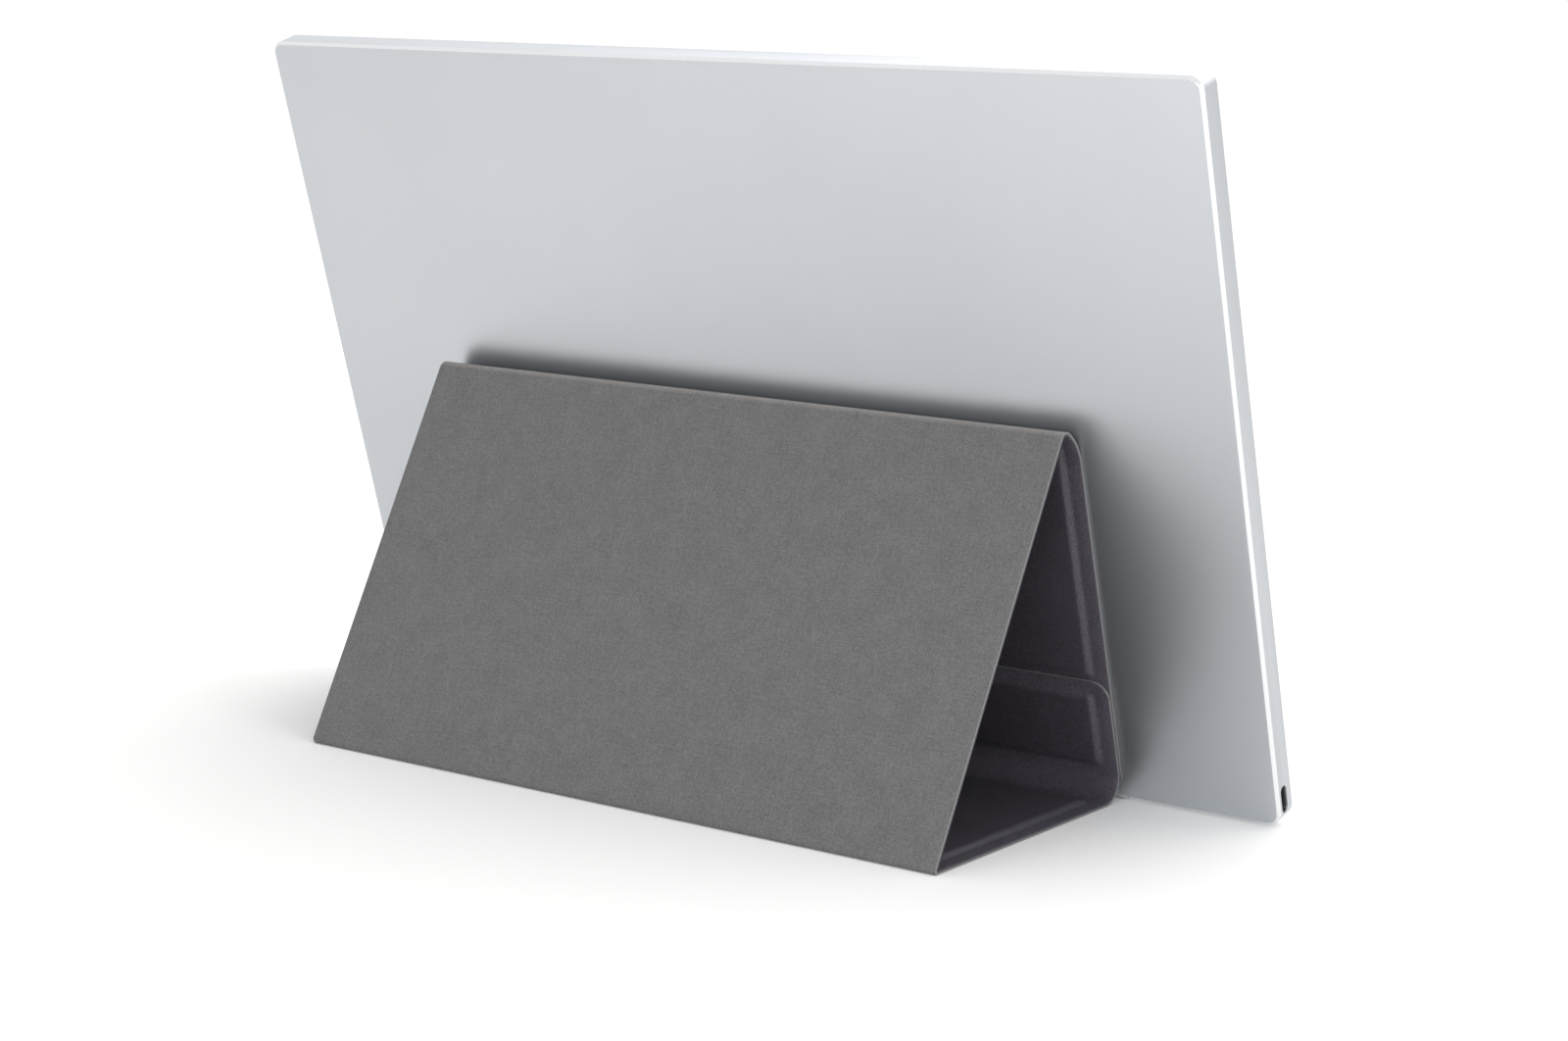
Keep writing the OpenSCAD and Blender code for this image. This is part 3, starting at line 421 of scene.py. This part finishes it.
def woven_cloth(name, light, dark, fold_highlight, fold, reach=0.0022, pitch=0.00043):
    """A fine plain weave of light and dark threads, on the sheet's own flat coordinates.
    Within reach of a fold its threads are painted paler: a painted highlight for the light on
    the fold's upper face."""
    material, tree, shader, at = new_finish(
        name, cloth=True, Roughness=0.92, Sheen_Weight=0.12, Sheen_Roughness=0.5)
    cells = wire(tree, "VectorMath", {0: at, 1: (1 / pitch, 1 / pitch, 1)},
                 operation="MULTIPLY").outputs[0]
    middle = wire(tree, "VectorMath", {0: cells, 1: (0, 0, 0.5)}, operation="ADD").outputs[0]
    over = wire(tree, "TexChecker", {"Vector": middle, "Scale": 1.0}).outputs["Fac"]
    corner = wire(tree, "VectorMath", {0: middle}, operation="FLOOR").outputs[0]
    fleck = wire(tree, "TexWhiteNoise", {"Vector": corner}).outputs["Value"]
    warp = noise(tree, cells, scale=1.0, detail=2, stretch=(1, 0.06, 1))
    weft = noise(tree, cells, scale=1.0, detail=2, stretch=(0.06, 1, 1))
    thread = wire(tree, "Mix", {0: over, 2: warp, 3: weft}, data_type="FLOAT").outputs[0]
    cloud = noise(tree, at, scale=95, detail=4)
    thread_share, fleck_share, cloud_share = 0.55, 0.25, 0.2
    tone = sum_up(tree, "ADD", sum_up(tree, "MULTIPLY", thread, thread_share),
                  sum_up(tree, "ADD", sum_up(tree, "MULTIPLY", fleck, fleck_share),
                         sum_up(tree, "MULTIPLY", cloud, cloud_share)))
    # Painted highlight: within reach of the fold the weave is blended towards a pale colour,
    # standing in for the light on the fold's upper face.
    flat = wire(tree, "SeparateXYZ", {0: at}).outputs[1]
    away = sum_up(tree, "ABSOLUTE", sum_up(tree, "SUBTRACT", flat, fold), 0)
    highlight_share = spread(tree, away, 1.0, 0.0, 0.0, reach)
    patchy = sum_up(tree, "MULTIPLY", highlight_share, spread(tree, tone, 0.4, 1.1, *NOISE_SPAN))
    woven = ramp(tree, tone, (0.28, dark), (0.74, light))
    tree.links.new(mix_colours(tree, patchy, woven, (*fold_highlight, 1)), shader.inputs["Base Color"])
    parts = wire(tree, "SeparateXYZ", {0: cells}).outputs
    waves = [sum_up(tree, "SINE", sum_up(tree, "MULTIPLY", parts[i], pi), 0) for i in (0, 1)]
    height = sum_up(tree, "ABSOLUTE", sum_up(tree, "MULTIPLY", *waves), 0)
    bump(tree, shader, sum_up(tree, "ADD", height, sum_up(tree, "MULTIPLY", thread, 0.7)),
         strength=0.75, depth=0.00011)
    return material


def grained_lining(name, shade, low, grain=0.00058):
    """Pebbled coated cloth with a soft shine: rounded grains between fine creases.
    Where it is pressed over a board, its grain is flatter; off the boards, on the thin border
    and the shoulders, its colour is painted paler, a painted highlight for the sheen of its
    grain."""
    material, tree, shader, at = new_finish(
        name, cloth=True, Roughness=0.5, Coat_Weight=0.55, Coat_Roughness=0.32)
    warp = wire(tree, "TexNoise", {"Vector": at, "Scale": 900.0, "Detail": 2.0}).outputs["Color"]
    drift = wire(tree, "VectorMath", {0: warp, 1: (grain, grain, 0)}, operation="MULTIPLY")
    pushed = wire(tree, "VectorMath", {0: at, 1: drift.outputs[0]}, operation="ADD").outputs[0]
    cells = wire(tree, "TexVoronoi", {"Vector": pushed, "Scale": 1 / grain, "Randomness": 0.85},
                 feature="DISTANCE_TO_EDGE").outputs["Distance"]
    dome = wire(tree, "MapRange", {"Value": cells, "From Min": 0.0, "From Max": 0.3,
                                   "To Min": 0.0, "To Max": 1.0},
                interpolation_type="SMOOTHSTEP").outputs["Result"]
    pressed = wire(tree, "Attribute", attribute_name="Pressed").outputs["Fac"]
    # The first number paints the lining off the boards paler: a painted highlight for the sheen
    # that side light raises on its grain.
    border_painted_highlight, board_relief = 1.55, 0.3
    crease_roughness, grain_roughness = 0.58, 0.34
    relief = sum_up(tree, "MULTIPLY", dome, spread(tree, pressed, 1.0, board_relief))
    broad = noise(tree, at, scale=60, detail=3)
    tone = sum_up(tree, "ADD", sum_up(tree, "MULTIPLY", dome, 0.55),
                  sum_up(tree, "MULTIPLY", broad, 0.45))
    # Painted highlight: the grain's colour is scaled up where the lining is not pressed over a
    # board.
    paler = wire(tree, "VectorMath", {
        0: ramp(tree, tone, (0.12, low), (0.75, shade)),
        "Scale": spread(tree, pressed, border_painted_highlight, 1.0),
    }, operation="SCALE").outputs[0]
    tree.links.new(paler, shader.inputs["Base Color"])
    tree.links.new(spread(tree, relief, crease_roughness, grain_roughness),
                   shader.inputs["Roughness"])
    bump(tree, shader, relief, strength=0.9, depth=0.00022)
    return material


def cut_edge(name, shade):
    """The bare cut edge of a sheet, with its fibre ends."""
    material, tree, shader, at = new_finish(name, Roughness=0.8)
    fibres = noise(tree, at, scale=2400, detail=3)
    # Partly painted highlight: the edge colour is set pale so that the rounded cut edges show as
    # light lines.
    mottle(tree, shader, fibres, tinted(shade, 0.75), tinted(shade, 1.2))
    bump(tree, shader, fibres, strength=0.4, depth=0.00005)
    return material


def pressed_board(name):
    """Fibre board with fine flecks."""
    dark, light = (0.13, 0.10, 0.07), (0.27, 0.22, 0.16)
    material, tree, shader, at = new_finish(name, Roughness=0.85)
    fibres = noise(tree, at, scale=700, detail=4, stretch=(1, 3, 3))
    mottle(tree, shader, fibres, dark, light)
    bump(tree, shader, fibres, strength=0.4, depth=0.00008)
    return material


def dotted_guide(name):
    """Clear plate with printed dots."""
    material, tree, shader, at = new_finish(
        name, Roughness=0.08, Transmission_Weight=0.85, IOR=1.49)
    dots = wire(tree, "TexVoronoi", {"Vector": at, "Scale": 900.0, "Randomness": 0.1})
    spots = sum_up(tree, "LESS_THAN", dots.outputs["Distance"], 0.25)
    clear, white = (0.86, 0.93, 0.96), (1, 1, 1)
    tree.links.new(ramp(tree, spots, (0.2, clear), (0.8, white)), shader.inputs["Base Color"])
    bump(tree, shader, dots.outputs["Distance"], strength=0.1, depth=0.00002)
    return material


def socket_tongue(name, pitch=0.0005):
    """Black moulded tongue with a row of plated contacts."""
    black, plated = (0.008, 0.008, 0.009), (0.2, 0.15, 0.07)
    material, tree, shader, at = new_finish(name, Roughness=0.4)
    bars = wire(tree, "TexWave", {"Vector": at, "Scale": 0.5 / pitch}, bands_direction="Z")
    rows = sum_up(tree, "GREATER_THAN", bars.outputs["Fac"], 0.55)
    mottle(tree, shader, rows, black, plated)
    tree.links.new(spread(tree, rows, 0.45, 0.25), shader.inputs["Roughness"])
    bump(tree, shader, bars.outputs["Fac"], strength=0.2, depth=0.00003)
    return material


# ---------- Pieces ----------

def close_up(bm, sharp=radians(40)):
    """Merges doubles, turns the faces outwards, and keeps edges over an angle sharp."""
    bmesh.ops.remove_doubles(bm, verts=bm.verts, dist=MERGE_REACH)
    bmesh.ops.recalc_face_normals(bm, faces=bm.faces)
    for face in bm.faces:
        face.smooth = True
    for edge in bm.edges:
        edge.smooth = len(edge.link_faces) == 2 and edge.calc_face_angle(0) < sharp


def make_piece(name, bm, *materials):
    """A finished object from a mesh whose place is in its vertices."""
    mesh = bpy.data.meshes.new(name)
    bm.to_mesh(mesh)
    bm.free()
    piece = bpy.data.objects.new(name, mesh)
    bpy.context.scene.collection.objects.link(piece)
    for material in materials:
        mesh.materials.append(material)
    return piece


def dress(material, *nodes):
    """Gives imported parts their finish."""
    for name in nodes:
        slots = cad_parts[name].data.materials
        slots.clear()
        slots.append(material)


def soften(node, width):
    """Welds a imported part's faces and breaks its sharp edges."""
    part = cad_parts[node]
    weld = part.modifiers.new("Weld", "WELD")
    weld.merge_threshold = TINY
    flat = part.modifiers.new("Flat faces", "DECIMATE")
    flat.decimate_type = "DISSOLVE"
    flat.angle_limit = FLAT_TURN
    bevel = part.modifiers.new("Edge break", "BEVEL")
    bevel.width = width
    bevel.segments = 2
    bevel.angle_limit = SMALL_PART_TURN
    bevel.harden_normals = True


class MONITOR_OT_housing(bpy.types.Operator):
    """Build the blasted metal shell with its polished chamfer, and finish buttons and foot"""
    bl_idname = "monitor.housing"
    bl_label = "Housing"

    def execute(self, context):
        monitor, cover, shades = sizes()
        line = FoldedLine(monitor, cover)
        bm = bmesh.new()
        bm.from_mesh(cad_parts["rear_housing"].data)
        bmesh.ops.remove_doubles(bm, verts=bm.verts, dist=TINY)
        bmesh.ops.dissolve_limit(bm, angle_limit=FLAT_TURN, verts=bm.verts, edges=bm.edges)
        half_width, slack = monitor.width / 2, TINY * 10

        def outside(vert):
            off, up = line.off_and_up(vert.co.y, vert.co.z)
            rim = max(abs(vert.co.x) - half_width, up - monitor.height, -up)
            return off > -slack or rim > -monitor.chamfer - slack

        edges = [e for e in bm.edges
                 if len(e.link_faces) == 2 and e.calc_face_angle(0) > HOUSING_TURN
                 and all(outside(v) for v in e.verts)]
        bmesh.ops.bevel(bm, geom=edges, offset=monitor.edge, segments=2, profile=0.5,
                        affect="EDGES", clamp_overlap=True, material=-1)
        close_up(bm, HOUSING_TURN)
        normal = Vector((0, line.rise, -line.run))
        slant_low, slant_high = 0.2, 0.93
        for face in bm.faces:
            middle = face.calc_center_median()
            off, _ = line.off_and_up(middle.y, middle.z)
            slanted = slant_low < face.normal.dot(normal) < slant_high
            face.material_index = int(slanted and -monitor.chamfer < off < 0)
        silver = blasted_metal("Blasted silver", shades.silver, 0.4)
        bright = blasted_metal("Polished chamfer", shades.chamfer, 0.2, 2500.0)
        shell = make_piece("housing_shell", bm, silver, bright)
        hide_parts("rear_housing")
        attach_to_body(shell, "monitor")
        dress(silver, "brightness_up_button", "brightness_down_button")
        for node in ("brightness_up_button", "brightness_down_button"):
            soften(node, monitor.button_edge)
        dress(moulded("Silicone foot", shades.foot, 0.45, 900.0,
                      Subsurface_Weight=0.25, Subsurface_Scale=0.001), "foot_strip")
        return {"FINISHED"}


class MONITOR_OT_screen(bpy.types.Operator):
    """Finish the bezel and the dark anti-glare display"""
    bl_idname = "monitor.screen"
    bl_label = "Screen"

    def execute(self, context):
        monitor, _, shades = sizes()
        dress(moulded("Bezel black", shades.bezel, 0.42, 3800.0, Specular_IOR_Level=0.35),
              "front_bezel")
        soften("front_bezel", monitor.bezel_edge)
        dress(moulded("Anti-glare display", shades.screen, 0.24, 7000.0, 0.000006,
                      Specular_IOR_Level=0.25, Coat_Weight=0.1, Coat_Roughness=0.16),
              "lcd_glass")
        dress(moulded("Foam tape", (0.02, 0.02, 0.02), 0.9, 2500.0, 0.00008), "bezel_tape")
        return {"FINISHED"}


class MONITOR_OT_sockets(bpy.types.Operator):
    """Finish the two sockets and their tongues"""
    bl_idname = "monitor.sockets"
    bl_label = "Sockets"

    def execute(self, context):
        monitor = sizes()[0]
        # The steel is painted nearly black: painted shade for the shadow inside the slots.
        dress(drawn_metal("Socket steel", (0.11, 0.11, 0.115), 0.34, (25, 60, 25)),
              "usb_shell_left", "usb_shell_right")
        for node in ("usb_shell_left", "usb_shell_right"):
            soften(node, monitor.socket_edge)
        dress(socket_tongue("Socket tongue"), "usb_tongue_left", "usb_tongue_right")
        return {"FINISHED"}


class MONITOR_OT_inside(bpy.types.Operator):
    """Finish what lies inside the housing and inside the cover"""
    bl_idname = "monitor.inside"
    bl_label = "Inside"

    def execute(self, context):
        amber, copper = (0.36, 0.16, 0.02), (0.62, 0.30, 0.09)
        dress(circuit_board("Circuit board"), "driver_board", "main_board", "side_board")
        dress(moulded("Chip epoxy", (0.012, 0.012, 0.013), 0.5), "main_board_chips",
              "tact_switches")
        dress(lined_film("Amber film", amber, copper, 0.0006), "driver_flexes",
              "display_cable")
        dress(lined_film("Amber cable", amber, copper, 0.0007, "Z"), "side_cable")
        dress(drawn_metal("Tinned sheet", (0.62, 0.62, 0.61), 0.34), "shield_can")
        dress(drawn_metal("Screw steel", (0.42, 0.42, 0.43), 0.3), "board_screws")
        dress(drawn_metal("Nickel plate", (0.62, 0.59, 0.53), 0.22), "housing_magnets",
              "attach_magnets", "flap_magnets")
        dress(drawn_metal("Tray steel", (0.5, 0.51, 0.52), 0.38), "panel_tray")
        dress(moulded("Insulating film", (0.014, 0.014, 0.015), 0.4), "insulating_sheet")
        dress(moulded("Frame white", (0.72, 0.72, 0.70), 0.5), "panel_frame")
        dress(moulded("Diffuser film", (0.8, 0.81, 0.82), 0.6, 4000.0,
                      Transmission_Weight=0.3), "diffuser_films")
        dress(moulded("Pearl reflector", (0.86, 0.87, 0.88), 0.28, 1500.0), "reflector_sheet")
        dress(dotted_guide("Light guide"), "light_guide")
        dress(lined_film("Lamp strip", (0.82, 0.80, 0.70), (0.85, 0.70, 0.22), 0.0045),
              "lighting_strip")
        dress(pressed_board("Pressed board"), "attach_board", "strut_board", "base_board",
              "flap_board")
        return {"FINISHED"}


# ---------- The cover's sheets ----------

# How far a fold's length of sheet reaches into the panels on either side
FOLD_MARGIN = 0.006
# Spacing of a sheet's grid: on a panel in metres, and round a bend in radians
PANEL_STEP = 0.006
BEND_STEP = radians(4)
# Play between a board and the foot of its shoulder
PAD_EASE = 0.0002
# Space between the nesting flap and the attached panel's board
NEST_SPACE = 0.0012
# How far the flap's board reaches into the border at its free end
FLAP_LAP = 0.001


def stations(first, last, coarse, marks=(), fine=0.0005, reach=0.002):
    """Stops from first to last: wide apart, and close together near the marks."""
    count = max(1, round((last - first) / coarse))
    stops = {first + (last - first) * i / count for i in range(count + 1)}
    around = round(reach / fine)
    stops |= {mark + i * fine for mark in marks for i in range(-around, around + 1)}
    kept, closest = [first], fine * 0.6
    for stop in sorted(stops):
        if kept[-1] + closest < stop < last - closest:
            kept.append(stop)
    return kept + [last]


def cut_blank(across, along):
    """A flat grid whose lines stand at the given stops."""
    bm = bmesh.new()
    columns, rows = len(across) - 1, len(along) - 1
    bmesh.ops.create_grid(bm, x_segments=columns, y_segments=rows, size=0.5)
    for vert in bm.verts:
        vert.co.x = across[round((vert.co.x + 0.5) * columns)]
        vert.co.y = along[round((vert.co.y + 0.5) * rows)]
    return bm


def round_corners(bm, half, length, radius, at_start, at_end, steps=9):
    """Cuts the free corners of a blank round, with tangent cuts."""
    for free, y, side in ((at_start, radius, -1), (at_end, length - radius, 1)):
        for across in (-1, 1) if free else ():
            for step in range(steps):
                turn = (step + 0.5) / steps * pi / 2
                out = Vector((across * cos(turn), side * sin(turn), 0))
                centre = Vector((across * (half - radius), y, 0))
                bmesh.ops.bisect_plane(
                    bm, geom=bm.verts[:] + bm.edges[:] + bm.faces[:], dist=CUT_REACH,
                    plane_co=centre + out * radius, plane_no=out, clear_outer=True)


def pad_height(x, y, half, zone, slope):
    """0 on the thin border, 1 over the board, with a soft slope round it."""
    middle, reach = (zone[0] + zone[1]) / 2, (zone[1] - zone[0]) / 2
    outside = sqrt(max(abs(x) - half, 0) ** 2 + max(abs(y - middle) - reach, 0) ** 2)
    share = max(min((slope - outside) / (slope - PAD_EASE), 1), 0)
    return share ** 2 * (3 - 2 * share)


def thicken(bm, top, bottom, joined):
    """Turns a flat blank into a sheet between two heights, with rounded cut edges.
    joined are the y values where the sheet runs on into its neighbour.
    The cut edges take the second material."""
    cut = bpy.context.scene.cover_sizes.edge
    layer = bm.loops.layers.uv.new("Cut")
    grown = bmesh.ops.extrude_face_region(bm, geom=bm.faces[:])
    for vert in bm.verts:
        vert.co.z = top
    for item in grown["geom"]:
        if isinstance(item, bmesh.types.BMVert):
            item.co.z = bottom
    bmesh.ops.recalc_face_normals(bm, faces=bm.faces)
    rims = [e for e in bm.edges
            if len(e.link_faces) == 2 and e.calc_face_angle(0) > RIM_TURN
            and abs(e.verts[0].co.z - e.verts[1].co.z) < TINY
            and not any(all(abs(v.co.y - y) < TINY for v in e.verts) for y in joined)]
    for face in bm.faces:
        face.material_index = int(abs(face.normal.z) < 0.5)
    bmesh.ops.bevel(bm, geom=rims, offset=cut, segments=2, profile=0.5, affect="EDGES",
                    clamp_overlap=True, material=1)
    return layer


def board_zones(line, cover):
    """The part of each panel that its board fills, along the whole flat sheet."""
    lengths = {name: stretch.length for name, stretch in line.stretches.items()}
    shoulder = cover.slope + PAD_EASE
    flap_up = line.off_and_up(*line.stretches["flap"].start)[1]
    nest = flap_up + cover.flap - cover.attach_up + shoulder + NEST_SPACE
    space = cover.bend_space
    zones = {
        "attach": (nest, lengths["attach"] + lengths["lift"] - space),
        "strut": (space, lengths["strut"] - space - shoulder),
        "base": (space, lengths["base"] - space),
        "flap": (space, cover.flap - cover.border + FLAP_LAP),
    }
    return {name: (line.stretches[name].at + low, line.stretches[name].at + high)
            for name, (low, high) in zones.items()}


def cut_sheet(first, last, lining):
    """A length of the woven skin or lining, cut flat and folded to its place."""
    monitor, cover, _ = sizes()
    line = FoldedLine(monitor, cover)
    total = line.whole
    half = cover.length / 2
    zones = board_zones(line, cover)
    slope = cover.shoulder / 2
    inner = half - cover.border
    sides = (-inner - slope, inner + slope) if lining else ()
    across = stations(-half, half, PANEL_STEP, sides)
    edges = [e for low, high in zones.values() for e in (low - slope, high + slope)]
    along = [first]
    for stretch in line.stretches.values():
        low, high = max(first, stretch.at), min(last, stretch.at + stretch.length)
        if low < high:
            marks = [e for e in edges if low < e < high] if lining else ()
            step = stretch.radius * BEND_STEP or PANEL_STEP
            along += stations(low, high, step, marks)[1:]
    bm = cut_blank(across, along)
    round_corners(bm, half, total, cover.corner, first < TINY, last > total - TINY)
    joined = [y for y in (first, last) if TINY < y < total - TINY]
    pressed = bm.verts.layers.float.new("Pressed") if lining else None
    near = cover.skin if lining else 0.0
    thick = cover.lining if lining else cover.skin
    layer = thicken(bm, -near, -near - thick, joined)
    for face in bm.faces:
        for loop in face.loops:
            loop[layer].uv = loop.vert.co.xy
    for vert in bm.verts:
        x, flat, out = vert.co
        if lining:
            vert[pressed] = max(pad_height(x, flat, inner, zone, cover.shoulder)
                                for zone in zones.values())
            out -= cover.board * vert[pressed]
        name = line.stretch_at(flat)
        y, z = line.place(name, flat - line.stretches[name].at, out)
        vert.co = (x + cover.shift, y, z)
    close_up(bm)
    return bm


# Each fold: its stretches, the bodies that it joins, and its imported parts.
FOLDS = {
    "apex_fold": (("lift", "apex"), ("attach", "strut"), ("lift_bend", "apex_fold")),
    "base_fold": (("base_fold",), ("strut", "base"), ("base_fold",)),
    "spine_fold": (("spine",), ("base", "flap"), ("spine_fold",)),
}


def make_sheets(kind, prefix, materials):
    """All lengths of one of the cover's two sheets; kind is skin or lining."""
    monitor, cover, _ = sizes()
    line = FoldedLine(monitor, cover)
    lining = kind == "lining"
    cuts = [0.0]
    for fold, (names, bodies, parts) in FOLDS.items():
        opening, closing = line.stretches[names[0]], line.stretches[names[-1]]
        first = opening.at - FOLD_MARGIN
        last = closing.at + closing.length + FOLD_MARGIN
        cuts += [first, last]
        piece = make_piece(f"{prefix}_{fold}", cut_sheet(first, last, lining), *materials)
        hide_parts(*[f"{part}_{kind}" for part in parts])
        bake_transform(piece)
    cuts.append(line.whole)
    for body, first, last in zip(("attach", "strut", "base", "flap"), cuts[::2], cuts[1::2]):
        piece = make_piece(f"{prefix}_{body}", cut_sheet(first, last, lining), *materials)
        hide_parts(f"{body}_{kind}")
        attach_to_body(piece, body)


class MONITOR_OT_woven_skin(bpy.types.Operator):
    """Cut, thicken and fold the cover's woven outer skin"""
    bl_idname = "monitor.woven_skin"
    bl_label = "Woven skin"

    def execute(self, context):
        monitor, cover, shades = sizes()
        apex = FoldedLine(monitor, cover).stretches["apex"]
        # The middle of the top fold gets the painted highlight.
        cloth = woven_cloth("Grey weave", shades.thread_light, shades.thread_dark,
                            shades.thread_painted_highlight, apex.at + apex.length / 2)
        edge = cut_edge("Woven cut edge", shades.woven_edge_with_highlight)
        make_sheets("skin", "woven", (cloth, edge))
        return {"FINISHED"}


class MONITOR_OT_lining(bpy.types.Operator):
    """Cut, thicken, press and fold the cover's grained lining"""
    bl_idname = "monitor.lining"
    bl_label = "Lining"

    def execute(self, context):
        shades = sizes()[2]
        coated = grained_lining("Grained lining", shades.lining, shades.lining_low)
        edge = cut_edge("Lining cut edge", shades.lining_edge_with_highlight)
        make_sheets("lining", "lining", (coated, edge))
        return {"FINISHED"}


# ---------- Stage ----------

CAMERA_PLACE = (-0.5998, 0.798132, 0.257268)
SENSOR_WIDTH = 36
SUN_DISTANCE = 2
LAMP_AIM = (0, 0, 0.1)
# The area lamps: the setting that gives each one's power, its width, height and place
LAMPS = (
    ("fill", 1.8, 0.6, (-0.4, 2.0, 0.35)),
    ("side", 1.0, 0.7, (-1.8, 0.5, 0.42)),
    ("front", 1.2, 1.2, (0.6, -1.9, 1.2)),
)
SKY_COLOUR = (1, 0.985, 0.96, 1)
FLOOR_COLOUR = (0.8, 0.8, 0.8, 1)
FLOOR_SIZE = 8
# The floor lies this far under the object's feet
FLOOR_DROP = 0.00002


def backdrop_shader(tree, camera_shader, other_shader):
    """Shows one shader to the camera, in gloss and through glass, and another to the light."""
    path = wire(tree, "LightPath").outputs
    seen = sum_up(tree, "MAXIMUM", path["Is Camera Ray"],
                  sum_up(tree, "MAXIMUM", path["Is Glossy Ray"], path["Is Transmission Ray"]))
    return wire(tree, "MixShader", {0: seen, 1: other_shader, 2: camera_shader}).outputs[0]


def hang_lamp(name, kind, power, place, aim):
    """A lamp at a place, turned towards another."""
    lamp = bpy.data.lights.new(name, kind)
    lamp.energy = power
    lit = bpy.data.objects.new(name, lamp)
    lit.location = place
    lit.rotation_euler = (Vector(aim) - Vector(place)).to_track_quat("-Z", "Y").to_euler()
    bpy.context.scene.collection.objects.link(lit)
    return lamp


class MONITOR_OT_stage(bpy.types.Operator):
    """Set the camera, the soft lights, the plain sky and the floor"""
    bl_idname = "monitor.stage"
    bl_label = "Stage"

    def execute(self, context):
        scene = context.scene
        studio = scene.studio_settings
        scene.view_settings.view_transform = "Standard"

        camera = bpy.data.objects.new("Camera", bpy.data.cameras.new("Camera"))
        camera.data.lens = studio.lens
        camera.data.sensor_width = SENSOR_WIDTH
        camera.data.clip_start, camera.data.clip_end = 0.05, 50
        a, e, r = studio.azimuth, studio.elevation, studio.roll
        back = Vector((sin(a) * cos(e), -cos(a) * cos(e), sin(e)))
        right = (-back).cross(Vector((0, 0, 1))).normalized()
        above = right.cross(-back)
        rolled = right * cos(r) + above * sin(r)
        upright = above * cos(r) - right * sin(r)
        turn = Matrix((rolled, upright, back)).transposed().to_4x4()
        camera.matrix_world = Matrix.Translation(CAMERA_PLACE) @ turn
        scene.collection.objects.link(camera)
        scene.camera = camera

        out = SUN_DISTANCE * sin(studio.tilt)
        place = (-out * sin(studio.turn), -out * cos(studio.turn),
                 SUN_DISTANCE * cos(studio.tilt))
        hang_lamp("Overhead", "SUN", pi * studio.overhead, place, (0, 0, 0)).angle = studio.soft
        for name, across, high, place in LAMPS:
            power = getattr(studio, name)
            lamp = hang_lamp(name.capitalize(), "AREA", power, place, LAMP_AIM)
            lamp.shape, lamp.size, lamp.size_y = "RECTANGLE", across, high

        world = bpy.data.worlds.new("Plain sky")
        world.use_nodes = True
        tree = world.node_tree
        tree.nodes.clear()
        seen = wire(tree, "Background", {"Color": (1, 1, 1, 1), "Strength": 1.0})
        lights = wire(tree, "Background", {"Color": SKY_COLOUR, "Strength": studio.sky})
        wire(tree, "OutputWorld", {
            "Surface": backdrop_shader(tree, seen.outputs[0], lights.outputs[0])})
        scene.world = world

        bm = bmesh.new()
        bmesh.ops.create_grid(bm, x_segments=1, y_segments=1, size=FLOOR_SIZE)
        bmesh.ops.translate(bm, vec=(0, 0, -FLOOR_DROP), verts=bm.verts)
        pale = bpy.data.materials.new("Pale floor")
        pale.use_nodes = True
        tree = pale.node_tree
        tree.nodes.clear()
        seen = wire(tree, "BsdfDiffuse", {"Color": (*[studio.floor] * 3, 1)})
        lights = wire(tree, "BsdfDiffuse", {"Color": FLOOR_COLOUR})
        wire(tree, "OutputMaterial", {
            "Surface": backdrop_shader(tree, seen.outputs[0], lights.outputs[0])})
        make_piece("Floor", bm, pale)
        return {"FINISHED"}


# ---------- Registration ----------

class MONITOR_PT_panel(bpy.types.Panel):
    """Lists the pieces of the monitor and its cover"""
    bl_idname = "MONITOR_PT_panel"
    bl_label = "Monitor with cover"
    bl_space_type = "VIEW_3D"
    bl_region_type = "UI"
    bl_category = "Monitor"

    def draw(self, context):
        for maker in OPERATORS:
            self.layout.operator(maker.bl_idname)
        for group in GROUPS:
            box = self.layout.box()
            box.label(text=group.replace("_", " ").capitalize())
            values = getattr(context.scene, group)
            for name in values.__annotations__:
                box.prop(values, name)


OPERATORS = (MONITOR_OT_stage, MONITOR_OT_housing, MONITOR_OT_screen, MONITOR_OT_sockets,
             MONITOR_OT_inside, MONITOR_OT_woven_skin, MONITOR_OT_lining)
GROUPS = {"monitor_sizes": MonitorSizes, "cover_sizes": CoverSizes,
          "finish_colours": FinishColours, "studio_settings": StudioSettings}


def register():
    for made in (*GROUPS.values(), *OPERATORS, MONITOR_PT_panel):
        bpy.utils.register_class(made)
    for name, group in GROUPS.items():
        setattr(bpy.types.Scene, name, PointerProperty(type=group))


def unregister():
    for name in GROUPS:
        delattr(bpy.types.Scene, name)
    for made in (MONITOR_PT_panel, *reversed(OPERATORS), *reversed(GROUPS.values())):
        bpy.utils.unregister_class(made)


def main():
    register()
    for maker in OPERATORS:
        area, name = maker.bl_idname.split(".")
        getattr(getattr(bpy.ops, area), name)()


if __name__ == "__main__":
    main()
